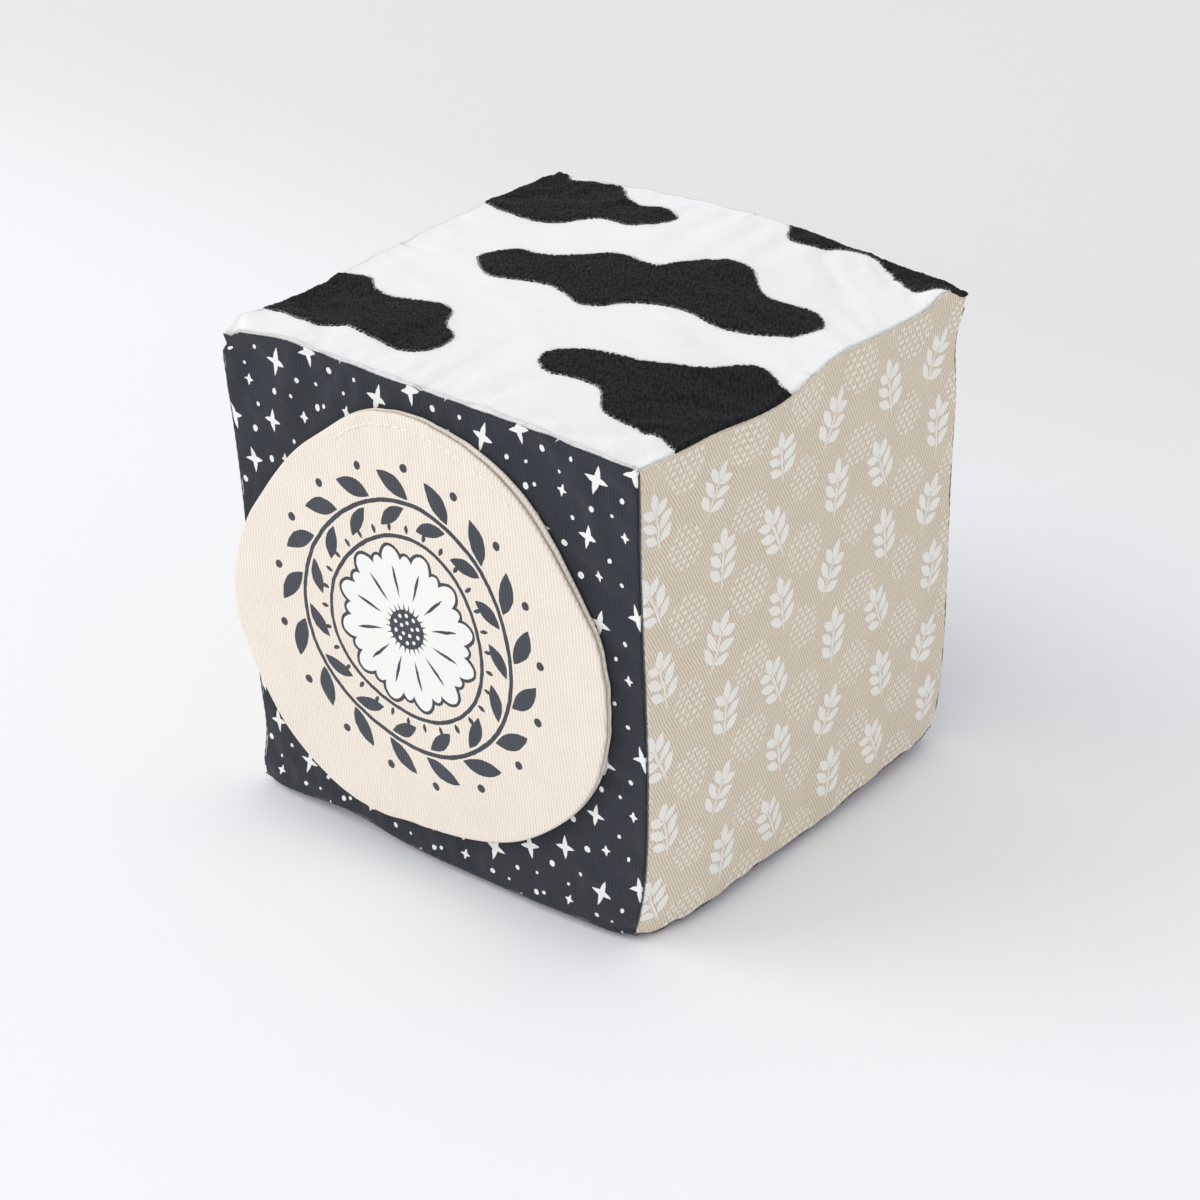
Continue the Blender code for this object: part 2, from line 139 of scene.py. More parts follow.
# What turns a side that is modelled lying flat, its outside up, to its place on the cube
TURNS = {"top": Matrix.Identity(3), "bottom": Matrix.Rotation(pi, 3, "X")}
for quarter, side in enumerate(("front", "right", "back", "left")):
    TURNS[side] = Matrix.Rotation(quarter * pi / 2, 3, "Z") @ Matrix.Rotation(pi / 2, 3, "X")
TURNS = {side: np.array(turn) for side, turn in TURNS.items()}
CLOTHS = {side: PLUSH if side == "top" else TWILL for side in TURNS}

# The embroidery stands this high on the plush within this much of its edge, and its rows of threads
# are this far apart and stand this much higher at their middles
PATCH_RISE = 0.38 * MM
PATCH_SLOPE = 0.9 * MM
ROW_PITCH = 1.9 * MM
ROW_RISE = 0.12 * MM

# How many loose fibres stand on the plush's face and along its four seams
FACE_FIBRES = 5000
SEAM_FIBRES = 18000

# Small roundings of the sewn cube: how far, and how far from a corner, a seam or the floor they reach.
# SEAM_LIFT_LEFT is the share of the lift that the front's bottom seam has at its left end
CORNER_ROUND = 0.0005
CORNER_REACH = 0.004
SEAM_LIFT = 0.0009
SEAM_LIFT_REACH = 0.0034
SEAM_LIFT_LEFT = 0.35
FLOOR_EASE = 0.00006

# Where hands and stuffing have pushed the cube out of true: a place in shares of its half width,
# how far the push reaches, and the push, both in millimetres
NUDGES = (
    ((-1.0, -1.0, 1.0), 14, (0.4, -0.4, -2.1)),
    ((-1.0, -1.0, 1.0), 3.2, (1.4, 1.0, -3.0)),
    ((-1.0, -0.9, 1.0), 7, (0.0, 0.0, 1.4)),
    ((-0.7, -1.0, 1.0), 22, (0.0, 0.0, 0.9)),
    ((-1.0, -0.62, 1.0), 20, (1.2, 0.0, -2.0)),
    ((-1.0, -0.05, 1.0), 45, (1.0, 0.0, -1.2)),
    ((-0.8, -1.0, 1.0), 14, (0.0, -0.3, 0.6)),
    ((1.0, -1.0, 1.0), 14, (0.3, -0.3, 0.3)),
    ((1.0, -0.82, 1.0), 22, (0.0, 0.0, -2.2)),
    ((1.0, -0.26, 1.0), 20, (1.4, 0.0, -3.5)),
    ((1.0, 0.2, 1.0), 10, (0.0, 0.0, 0.8)),
    ((1.0, 0.6, 1.0), 30, (0.4, 0.0, -1.1)),
    ((1.0, 0.9, 1.0), 7, (-0.4, 0.0, 2.6)),
    ((1.0, 1.0, 1.0), 5, (0.6, 0.4, -2.6)),
    ((1.0, 1.0, 1.0), 14, (0.4, -0.4, -0.6)),
    ((0.75, 1.0, 1.0), 26, (0.0, 0.0, -1.6)),
    ((0.1, 1.0, 1.0), 46, (0.0, 0.4, 1.7)),
    ((-1.0, 1.0, 1.0), 24, (0.0, -0.8, -2.2)),
    ((1.0, -1.0, -0.35), 50, (2.5, 0.1, 0.0)),
    ((1.0, -1.0, -1.0), 13, (-3.0, 1.2, -2.4)),
    ((1.0, -0.6, -1.0), 17, (0.6, 0.0, 0.2)),
    ((0.0, -1.0, -1.0), 45, (0.0, 0.0, 1.1)),
    ((1.0, -0.82, -1.0), 1.8, (-0.4, 0.0, 1.1)),
    ((1.0, -0.35, -1.0), 22, (0.0, 0.0, 1.7)),
    ((1.0, 0.1, -1.0), 60, (0.0, 0.0, 1.3)),
    ((1.0, 0.55, -1.0), 26, (0.0, 0.0, 2.4)),
    ((1.0, 1.0, 0.8), 11, (-1.2, -1.0, 0.0)),
    ((1.0, 1.0, 0.1), 48, (-1.5, -1.2, 0.0)),
    ((1.0, 1.0, -0.7), 28, (-0.7, 0.0, 0.3)),
    ((-1.0, -1.0, 0.35), 30, (1.5, 0.3, 0.0)),
    ((-1.0, -1.0, -0.45), 55, (4.8, 1.6, 0.0)),
    ((-1.0, -1.0, -0.8), 12, (1.5, 0.3, 0.0)),
    ((-1.0, -1.0, -1.0), 13, (-2.4, -0.4, -1.0)),
    ((-0.5, -1.0, -1.0), 16, (0.0, 0.4, 2.2)),
)


def face_height(cloth):
    """How far a side's flat face lies from the cube's centre before it is stuffed."""
    radius = cloth + FOLD_ROOM
    return HALF + (SEAM_GAP / 2 + radius) * DIAGONAL + radius


def flat_half(cloth):
    """Half the width of a side's face, up to where it starts to turn into the seams."""
    return face_height(cloth) - COVER_FOLD - (SEAM_GAP / 2 + COVER_FOLD) / DIAGONAL


CENTRE = np.array((0, 0, face_height(TWILL) + BOTTOM_CROWN - FLAT_DEPTH))
FLAP_BACK = face_height(TWILL) + FLAP_GAP
FLAP_FRONT = FLAP_BACK + FLAP_THICKNESS


def linear(hex_colour):
    """An sRGB hex colour in linear light."""
    channels = [int(hex_colour[k : k + 2], 16) / 255 for k in (1, 3, 5)]
    return tuple(c / 12.92 if c <= 0.04045 else ((c + 0.055) / 1.055) ** 2.4 for c in channels)


def dome(share):
    """1 at the middle of a side, 0 at its seams."""
    return np.clip(1 - share * share, 0, None)


def rim(share):
    """0 at the middle of a side, 1 at its seams."""
    return np.clip(np.abs(share), 0, 1) ** RIM_POWER


def stuffed(points):
    """Where the filling moves points of the flat-sided cube, measured from its centre, as in the solids."""
    share = points / HALF
    above = points[:, 2] > 0
    domes, rims = dome(share), rim(share)
    corner = np.where(above, TOP_CORNER_OUT, -BOTTOM_CORNER_IN) * rims.prod(axis=1)
    moved = points.copy()
    for axis in range(3):
        one, two = axis - 1, axis - 2
        push = SEAM_BOW * (domes[:, one] * rims[:, two] + domes[:, two] * rims[:, one]) + corner
        swell = domes[:, one] * domes[:, two]
        if axis == 2:
            square = np.maximum(np.abs(share[:, one]), np.abs(share[:, two]))
            pressed = np.minimum(push + BOTTOM_CROWN * dome(square), BOTTOM_CROWN - FLAT_DEPTH)
            push = np.where(above, push + TOP_CROWN * swell, pressed)
        else:
            push = push + SIDE_CROWN * swell
        depth = np.clip(np.abs(share[:, axis]), 0, 1) ** 2
        moved[:, axis] += np.sign(points[:, axis]) * push * depth
    return moved


def shaped(points):
    """The stuffed cube with its hand-made corners and seams, in the row frame."""
    moved = stuffed(points)
    for place, reach, push in NUDGES:
        away = np.linalg.norm(points - np.array(place) * HALF, axis=1) / (reach * MM)
        moved += np.exp(-away * away)[:, None] * np.array(push) * MM
    corner = np.sign(points) * HALF
    away = np.linalg.norm(points - corner, axis=1) / CORNER_REACH
    moved -= np.exp(-away * away)[:, None] * np.sign(points) * CORNER_ROUND
    # The front's bottom seam stands a little off the floor, so that the bottom cloth shows under it
    away = np.hypot(points[:, 1] + HALF, points[:, 2] + HALF) / SEAM_LIFT_REACH
    along = np.clip((points[:, 0] + HALF) / EDGE, 0, 1)
    risen = SEAM_LIFT_LEFT + (1 - SEAM_LIFT_LEFT) * np.sqrt(along)
    moved[:, 2] += np.exp(-away * away) * SEAM_LIFT * risen
    moved += CENTRE
    moved[:, 2] = FLOOR_EASE * np.logaddexp(0, moved[:, 2] / FLOOR_EASE)
    return moved


def ripple(along, seed, shortest, longest, waves=9):
    """Smooth uneven waves along a line, mostly within -1 and 1, of lengths between these two."""
    rng = np.random.default_rng(seed)
    lengths = rng.uniform(shortest, longest, waves)
    phases = rng.uniform(0, 2 * pi, waves)
    total = sum(np.sin(2 * pi * along / l + p) for l, p in zip(lengths, phases))
    return total / sqrt(waves)


def undulation(uv, seed, shortest, longest, waves=14):
    """Smooth uneven waves over a face, of lengths between these two."""
    rng = np.random.default_rng(seed)
    total = 0
    for _ in range(waves):
        angle = rng.uniform(0, 2 * pi)
        length = rng.uniform(shortest, longest)
        phase = rng.uniform(0, 2 * pi)
        across = uv @ np.array((cos(angle), sin(angle)))
        total = total + np.sin(2 * pi * across / length + phase)
    return total / sqrt(waves)


def square_grid(half, cells):
    """(places, index, quads) of a square cloth of this half width, in cells both ways."""
    line = np.linspace(-half, half, cells + 1)
    uv = np.stack([grid.ravel() for grid in np.meshgrid(line, line)], axis=1)
    index = np.arange(len(uv)).reshape(cells + 1, cells + 1)
    quads = np.stack([index[:-1, :-1], index[:-1, 1:], index[1:, 1:], index[1:, :-1]], axis=-1)
    return uv, index, quads.reshape(-1, 4)


def cube_grid(half, cells):
    """(points, faces, same) of a cube's six welded sides. same numbers the point of each side's places."""
    uv, _, quads = square_grid(half, cells)
    flat = np.column_stack([uv, np.full(len(uv), half)])
    places = np.concatenate([flat @ turn.T for turn in TURNS.values()])
    faces = np.concatenate([quads + k * len(uv) for k in range(len(TURNS))])
    keys = np.round(places / (MM / 10)).astype(int)
    _, first, same = np.unique(keys, axis=0, return_index=True, return_inverse=True)
    same = same.reshape(-1)
    return places[first], same[faces], same


class Cover:
    """The cover's surface: its own wrinkles, and where any point of a side lies in the row frame."""

    wrinkles = {}
    cells = 40
    frames = 20
    lap = 0.2 * MM

    @classmethod
    def simulate(cls, slack, pressure):
        """Blows up a slightly loose cloth cube, held at its seams, and keeps the wrinkles that form."""
        points, faces, same = cube_grid(HALF, cls.cells)
        at_seam = (np.abs(np.abs(points) - HALF) < MM / 10).sum(axis=1) >= 2
        rng = np.random.default_rng(7)
        start = stuffed(points)
        start[~at_seam] += rng.uniform(-1, 1, (int((~at_seam).sum()), 3)) * 0.05 * MM
        bag = mesh_object("cover_bag", start, faces)
        bag.vertex_groups.new(name="seams").add(np.nonzero(at_seam)[0].tolist(), 1, "REPLACE")
        cloth = bag.modifiers.new("cloth", "CLOTH")
        cloth.settings.quality = 8
        cloth.settings.tension_stiffness = cloth.settings.compression_stiffness = 15
        cloth.settings.bending_stiffness = 0.5
        cloth.settings.use_pressure = True
        cloth.settings.uniform_pressure_force = pressure
        cloth.settings.shrink_min = cloth.settings.shrink_max = -slack
        cloth.settings.vertex_group_mass = "seams"
        cloth.settings.effector_weights.gravity = 0
        cloth.collision_settings.use_collision = False
        cloth.point_cache.frame_start, cloth.point_cache.frame_end = 1, cls.frames
        for step in range(1, cls.frames + 1):
            bpy.context.scene.frame_set(step)
        evaluated = bag.evaluated_get(bpy.context.evaluated_depsgraph_get())
        blown = vertex_places(evaluated.data)
        bpy.data.objects.remove(bag)
        bpy.context.scene.frame_set(1)
        moved = (blown - start)[same].reshape(len(TURNS), -1, 3)
        # The even swell of each side is taken away, so that only the wrinkles are left
        powers = (0.35, 0.7, 1, 2)
        u, v = square_grid(HALF, cls.cells)[0].T / HALF
        basis = np.stack([dome(u) ** a * dome(v) ** b for a in powers for b in powers], axis=1)
        for (side, turn), move in zip(TURNS.items(), moved):
            outward = move @ turn[:, 2]
            even = basis @ np.linalg.lstsq(basis, outward, rcond=None)[0]
            cls.wrinkles[side] = (outward - even).reshape(cls.cells + 1, cls.cells + 1)

    @classmethod
    def wrinkle(cls, side, uv, most):
        """How far a side's wrinkles stand out at these arc lengths from its middle."""
        if side not in cls.wrinkles:
            return np.zeros(len(uv))
        grid = cls.wrinkles[side]
        place = np.clip((uv + HALF) / EDGE, 0, 1) * cls.cells
        base = np.minimum(place.astype(int), cls.cells - 1)
        t = place - base
        weights = 0.5 * np.stack(
            [
                -t + 2 * t**2 - t**3,
                2 - 5 * t**2 + 3 * t**3,
                t + 4 * t**2 - 3 * t**3,
                t**3 - t**2,
            ]
        )
        total = np.zeros(len(uv))
        for i in range(4):
            for j in range(4):
                column = np.clip(base[:, 0] + i - 1, 0, cls.cells)
                row = np.clip(base[:, 1] + j - 1, 0, cls.cells)
                total += weights[i][:, 0] * weights[j][:, 1] * grid[row, column]
        return most * np.tanh(total / most)

    @classmethod
    def relief(cls, side, uv):
        """What stands out from a side's smooth form: wrinkles, puckers at the seams and soft waves."""
        looks = bpy.context.scene.block_looks
        half = flat_half(CLOTHS[side])
        soft = side == "top"
        seed = 100 * (1 + list(TURNS).index(side))
        lift = undulation(uv, seed, 16 * MM, 46 * MM) * (0.13 if soft else 0.08) * MM
        if soft:
            # Pressed creases that run from side to side, here and there, and the pile's own unevenness
            lift += undulation(uv * (0.25, 1), seed + 9, 8 * MM, 15 * MM) * 0.09 * MM
            fold = undulation(uv * (0.3, 1), seed + 20, 14 * MM, 30 * MM) / 0.36
            patchy = 0.5 + 0.5 * np.tanh(2 * undulation(uv, seed + 21, 40 * MM, 90 * MM))
            lift -= 0.22 * MM * patchy * np.exp(-fold * fold)
            lift += undulation(uv, seed + 22, 4 * MM, 9 * MM) * 0.03 * MM
        if side == "bottom":
            lift *= 0.3
        for k, (across, along) in enumerate(((0, 1), (0, 1), (1, 0), (1, 0))):
            inward = half - (uv[:, across] if k % 2 else -uv[:, across])
            near = np.exp(-np.clip(inward, 0, None) / ((7 if soft else 5) * MM))
            tight = np.exp(-np.clip(inward, 0, None) / (1.6 * MM))
            gather = ripple(uv[:, along], seed + k, 7 * MM, 24 * MM)
            stitch = np.cos(2 * pi * uv[:, along] / looks.stitch_length)
            lift += near * gather * looks.pucker + tight * stitch * looks.pucker * 0.12
        room = 0.3 if side == "bottom" else 1
        lift = lift * room + cls.wrinkle(side, uv, looks.wrinkle) * room
        if side == "bottom":
            lift = np.minimum(lift, 0)
        if side in ("back", "left"):
            # The two hidden sides are drawn in at their seams
            inward = np.clip(half - np.abs(uv).max(axis=1), 0, None) / (3.5 * MM)
            lift -= 0.55 * MM * np.exp(-inward * inward)
        return lift

    @classmethod
    def places(cls, side, uv, lift=0.0):
        """Points of a side in the row frame, at arc lengths uv from its middle and lift above its cloth."""
        radius = COVER_FOLD
        half, level = flat_half(CLOTHS[side]), face_height(CLOTHS[side]) - radius
        across = np.abs(uv)
        over = np.clip(across.max(axis=1) - half, 0, None)
        turn = np.clip(over / radius, 0, FOLD_TURN)
        rest = (over - turn * radius) * DIAGONAL
        fade = np.clip((radians(125) - turn) / radians(60), 0, 1)
        rise = cls.relief(side, uv) * fade + lift
        # The pile stands out past its fold, each side swells against it and closes the seam over its
        # thread, and the bottom shows under the front
        out = np.clip(turn / radians(60), 0, 1)
        low = np.clip((FOLD_TURN - turn) / radians(50), 0, 1)
        right, up = (np.clip(uv[:, axis] - half, 0, None) / np.maximum(over, 1e-9) for axis in (0, 1))
        if side == "top":
            shown = (1 + 0.3 * undulation(uv, 31, 2.5 * MM, 9 * MM)) * (1 - right)
        else:
            shown = (1.3 if side == "bottom" else 2.0) * up
        rise = rise + cls.lap * shown * out * out * (3 - 2 * out) * low * low * (3 - 2 * low)
        width = half + (radius + rise) * np.sin(turn) - rest
        height = level + (radius + rise) * np.cos(turn) - rest
        flat = np.empty((len(uv), 3))
        beyond = across > half
        for axis in (0, 1):
            first = across[:, axis] >= across[:, 1 - axis]
            inside = np.clip(uv[:, axis], -half, half) * np.where(over > 0, width / half, 1)
            flat[:, axis] = np.where(beyond[:, axis] & first, np.sign(uv[:, axis]) * width, inside)
        flat[:, 2] = height
        return shaped(flat @ TURNS[side].T)


def vertex_places(mesh):
    """A mesh's vertices as rows of an array."""
    places = np.empty(len(mesh.vertices) * 3, np.float32)
    mesh.vertices.foreach_get("co", places)
    return places.reshape(-1, 3).astype(float)


def mesh_object(name, points, faces, cloth=None):
    """An object from points and faces. cloth gives each point's place on its flat cloth, in metres."""
    mesh = bpy.data.meshes.new(name)
    mesh.from_pydata(np.asarray(points).tolist(), [], [list(map(int, face)) for face in faces])
    if cloth is not None:
        corners = np.empty(len(mesh.loops), np.int32)
        mesh.loops.foreach_get("vertex_index", corners)
        layer = mesh.uv_layers.new(name="cloth")
        layer.data.foreach_set("uv", (np.asarray(cloth)[corners] / MM).astype(np.float32).ravel())
    mesh.polygons.foreach_set("use_smooth", np.ones(len(mesh.polygons), bool))
    mesh.update()
    obj = bpy.data.objects.new(name, mesh)
    bpy.context.scene.collection.objects.link(obj)
    return obj


def applied(obj):
    """The object with its modifiers made part of its mesh."""
    graph = bpy.context.evaluated_depsgraph_get()
    mesh = bpy.data.meshes.new_from_object(
        obj.evaluated_get(graph), preserve_all_data_layers=True, depsgraph=graph
    )
    obj.modifiers.clear()
    obj.data = mesh
    return obj


def thickened(obj, thickness):
    """Gives a cloth its thickness, inwards from the side that its faces look to."""
    cloth = obj.modifiers.new("cloth", "SOLIDIFY")
    cloth.thickness = thickness
    cloth.offset = -1
    return applied(obj)


def strip(rows):
    """Quads between closed rows of point numbers, each row as long as the next."""
    rows = [np.asarray(row) for row in rows]
    return [
        quad
        for upper, lower in zip(rows, rows[1:])
        for quad in zip(upper, np.roll(upper, -1), np.roll(lower, -1), lower)
    ]


def tubes(paths, radii, sides=8):
    """(points, faces) of round threads along paths, closed at both ends. radii are rows like the paths."""
    points, faces = [], []
    for path, radius in zip(paths, radii):
        ahead = np.gradient(path, axis=0)
        ahead /= np.linalg.norm(ahead, axis=1)[:, None]
        up = np.where(np.abs(ahead[:, 2:3]) < 0.9, np.array([[0, 0, 1.0]]), np.array([[1.0, 0, 0]]))
        right = np.cross(ahead, up)
        right /= np.linalg.norm(right, axis=1)[:, None]
        up = np.cross(right, ahead)
        turns = 2 * pi * np.arange(sides) / sides
        ring = right[:, None] * np.cos(turns)[None, :, None] + up[:, None] * np.sin(turns)[None, :, None]
        base = sum(map(len, points))
        points.append((path[:, None] + ring * radius[:, None, None]).reshape(-1, 3))
        rows = base + np.arange(len(path) * sides).reshape(-1, sides)
        faces += strip(rows[:, ::-1])
        faces += [rows[0].tolist(), rows[-1][::-1].tolist()]
    return np.concatenate(points), faces


def curved(p0, p1, p2, p3, t):
    """Between p1 and p2 at a share t, on a smooth curve through all four."""
    start = 2 * p1 + (p2 - p0) * t + (2 * p0 - 5 * p1 + 4 * p2 - p3) * t**2
    return (start + (3 * p1 - p0 - 3 * p2 + p3) * t**3) / 2


def smooth_outline(knots, spacing):
    """A closed curve through knots, as evenly spaced points."""
    knots = np.asarray(knots, float)
    t = np.linspace(0, 1, 24, endpoint=False)[:, None]
    parts = []
    for k in range(len(knots)):
        parts.append(curved(*(knots[(k + step) % len(knots)] for step in (-1, 0, 1, 2)), t))
    return evenly(np.concatenate(parts), spacing)


def run_along(line):
    """How far along a line each of its points lies."""
    return np.concatenate([[0], np.cumsum(np.linalg.norm(np.diff(line, axis=0), axis=1))])


def points_at(at, run, line):
    """A line's points at these distances along it."""
    return np.stack([np.interp(at, run, line[:, axis]) for axis in range(line.shape[1])], axis=1)


def evenly(loop, spacing):
    """A closed line with its points this far apart."""
    closed = np.vstack([loop, loop[:1]])
    run = run_along(closed)
    at = np.linspace(0, run[-1], max(8, round(run[-1] / spacing)), endpoint=False)
    return points_at(at, run, closed)


def right_of(ahead):
    """Unit vectors to the right of these."""
    return np.stack([ahead[:, 1], -ahead[:, 0]], axis=1) / np.linalg.norm(ahead, axis=1)[:, None]


def clipped(loop, most):
    """The part of a closed line's area within a square of this half width."""
    for axis in (0, 1):
        for sign in (1, -1):
            kept = []
            for a, b in zip(loop, np.roll(loop, -1, axis=0)):
                inside_a, inside_b = sign * a[axis] <= most, sign * b[axis] <= most
                if inside_a:
                    kept.append(a)
                if inside_a != inside_b:
                    kept.append(a + (b - a) * (sign * most - a[axis]) / (b[axis] - a[axis]))
            loop = np.array(kept)
    return loop


def inside(points, loop):
    """Which points lie inside a closed line."""
    found = np.zeros(len(points), bool)
    for a, b in zip(loop, np.roll(loop, -1, axis=0)):
        if a[1] == b[1]:
            continue
        crosses = (points[:, 1] >= min(a[1], b[1])) & (points[:, 1] < max(a[1], b[1]))
        at = a[0] + (points[:, 1] - a[1]) * (b[0] - a[0]) / (b[1] - a[1])
        found ^= crosses & (points[:, 0] < at)
    return found


def distance_to(points, loop):
    """How far each point is from the nearest point of a line."""
    best = np.full(len(points), np.inf)
    for start in range(0, len(loop), 64):
        away = np.linalg.norm(points[:, None] - loop[None, start : start + 64], axis=2)
        best = np.minimum(best, away.min(axis=1))
    return best


def flap_reach(turns):
    """The flap's radius at shares of a full turn, on a smooth curve through its outline's shares."""
    count = len(FLAP_OUTLINE_SHARES)
    place = np.asarray(turns) % 1 * count
    before = place.astype(int)
    t = place - before
    shares = np.array(FLAP_OUTLINE_SHARES)
    return FLAP_RADIUS * curved(*(shares[(before + k) % count] for k in (-1, 0, 1, 2)), t)


def flap_flat(turns, reach):
    """Places on the flap's flat cloth, in the front side's own axes."""
    angle = 2 * pi * np.asarray(turns)
    return np.stack([FLAP_ASIDE + reach * np.cos(angle), FLAP_ABOVE + reach * np.sin(angle)], axis=1)


def flap_places(uv, level):
    """Points of the flap in the row frame. It hangs a little away from the front below its sewn edge."""
    below = np.clip((HINGE_HEIGHT - uv[:, 1]) / FLAP_RADIUS, 0, None)
    aside = np.clip((-uv[:, 0] - 0.02) / FLAP_RADIUS, 0, None)
    ease = below**2 / (below**2 + 0.5)
    away = (0.35 + 0.30 * undulation(uv, 900, 30 * MM, 70 * MM) + 1.5 * aside) * ease * MM
    flat = np.column_stack([uv, np.broadcast_to(level, len(uv))])
    places = stuffed(flat @ TURNS["front"].T) + CENTRE
    lift = np.maximum(Cover.relief("front", np.clip(uv, -HALF, HALF)), 0) * (1 - ease * 0.4)
    places[:, 1] -= lift + np.clip(away, 0, None)
    return places


def add_node(tree, kind, inputs=None, **settings):
    """Adds a node with its settings. Each input is a value, or the node or socket that feeds it."""
    made = tree.nodes.new(kind)
    for name, value in settings.items():
        setattr(made, name, value)
    for key, value in (inputs or {}).items():
        if isinstance(value, bpy.types.Node):
            value = value.outputs[0]
        if isinstance(value, bpy.types.NodeSocket):
            tree.links.new(value, made.inputs[key])
        else:
            made.inputs[key].default_value = value
    return made


def new_material(name, roughness, sheen, specular=0.2):
    """(material, tree, shader) of a new material whose even values stand on the shader itself."""
    material = bpy.data.materials.new(name)
    material.use_nodes = True
    tree = material.node_tree
    shader = tree.nodes["Principled BSDF"]
    shader.inputs["Roughness"].default_value = roughness
    shader.inputs["Specular IOR Level"].default_value = specular
    shader.inputs["Sheen Weight"].default_value = sheen
    shader.inputs["Sheen Roughness"].default_value = 0.5
    return material, tree, shader


def surfaced(tree, shader, share, low, high, height, depth):
    """Gives the shader a colour between two, and raises it by a height from 0 to 1, times a depth."""
    colour = add_node(
        tree, "ShaderNodeMix", {"Factor": share, "A": rgba(*low), "B": rgba(*high)}, data_type="RGBA"
    )
    tree.links.new(colour.outputs["Result"], shader.inputs["Base Color"])
    relief = add_node(tree, "ShaderNodeBump", {"Height": height, "Distance": depth})
    tree.links.new(relief.outputs[0], shader.inputs["Normal"])
    return colour.outputs["Result"]


def depth_in(tree, place, kind, at=(0, 0), angle=0, size=(1, 1)):
    """Above 0 inside a motif of this kind, which lies at a place, an angle and a size in millimetres."""
    local = add_node(
        tree,
        "ShaderNodeMapping",
        {"Vector": place, "Location": (*at, 0), "Rotation": (0, 0, angle), "Scale": (*size, 1)},
        vector_type="TEXTURE",
    )
    parts = add_node(
        tree,
        "ShaderNodeSeparateXYZ",
        {0: add_node(tree, "ShaderNodeVectorMath", {0: local}, operation="ABSOLUTE")},
    )
    powers = {"disc": (2, 2), "leaf": (2, 1)}[kind]
    x, y = (
        add_node(tree, "ShaderNodeMath", {0: parts.outputs[k], 1: powers[k]}, operation="POWER")
        for k in (0, 1)
    )
    both = add_node(tree, "ShaderNodeMath", {0: x, 1: y}, operation="ADD")
    return add_node(tree, "ShaderNodeMath", {0: 1, 1: both}, operation="SUBTRACT")


def any_of(tree, depths):
    """1 inside any of the motifs, 0 outside them all."""
    total = depths[0]
    for depth in depths[1:]:
        total = add_node(tree, "ShaderNodeMath", {0: total, 1: depth}, operation="MAXIMUM")
    return add_node(tree, "ShaderNodeMath", {0: total, 1: 0}, operation="GREATER_THAN")


def repeated(tree, cloth, cell, at, angle=0):
    """Places round a point that comes back in every cell of a print, turned by an angle."""
    moved = add_node(tree, "ShaderNodeVectorMath", {0: cloth, 1: (*at, 0)}, operation="SUBTRACT")
    half = (cell[0] / 2, cell[1] / 2, 0.5)
    wrapped = add_node(
        tree,
        "ShaderNodeVectorMath",
        {0: moved, 1: half, 2: tuple(-x for x in half)},
        operation="WRAP",
    )
    return add_node(
        tree, "ShaderNodeMapping", {"Vector": wrapped, "Rotation": (0, 0, -angle)}, vector_type="POINT"
    )


def cloth_place(tree, waver=0.0, reach=2.5):
    """A point's place on its flat cloth in millimetres, wavering by as much as a printed edge does."""
    place = add_node(tree, "ShaderNodeUVMap", uv_map="cloth")
    if not waver:
        return place
    noise = add_node(tree, "ShaderNodeTexNoise", {"Vector": place, "Scale": 1 / reach, "Detail": 2})
    centred = add_node(
        tree, "ShaderNodeVectorMath", {0: noise.outputs["Color"], 1: (0.5, 0.5, 0.5)}, operation="SUBTRACT"
    )
    moved = add_node(tree, "ShaderNodeVectorMath", {0: centred, 3: waver}, operation="SCALE")
    return add_node(tree, "ShaderNodeVectorMath", {0: place, 1: moved}, operation="ADD")


def twill_height(tree, cloth, pitch, lean):
    """Twill's ribs this far apart in millimetres, each a row of short yarns that lie a little unevenly."""
    turned = add_node(tree, "ShaderNodeMapping", {"Vector": cloth, "Rotation": (0, 0, lean)})
    ribs = add_node(
        tree,
        "ShaderNodeTexWave",
        {"Vector": turned, "Scale": 0.314 / pitch, "Distortion": 1.1, "Detail": 2, "Detail Scale": 0.8},
        bands_direction="X",
    )
    stretched = add_node(tree, "ShaderNodeMapping", {"Vector": turned, "Scale": (2.4, 0.9, 1)})
    yarns = add_node(tree, "ShaderNodeTexNoise", {"Vector": stretched, "Scale": 1, "Detail": 2})
    uneven = add_node(
        tree, "ShaderNodeMath", {0: yarns.outputs["Fac"], 1: 0.9, 2: -0.3}, operation="MULTIPLY_ADD"
    )
    return add_node(
        tree, "ShaderNodeMath", {0: ribs.outputs["Fac"], 1: 0.75, 2: uneven}, operation="MULTIPLY_ADD"
    )


def rgba(colour, light=1.0):
    """A colour with its alpha, made lighter or darker."""
    return (*(min(1, c * light) for c in colour), 1)


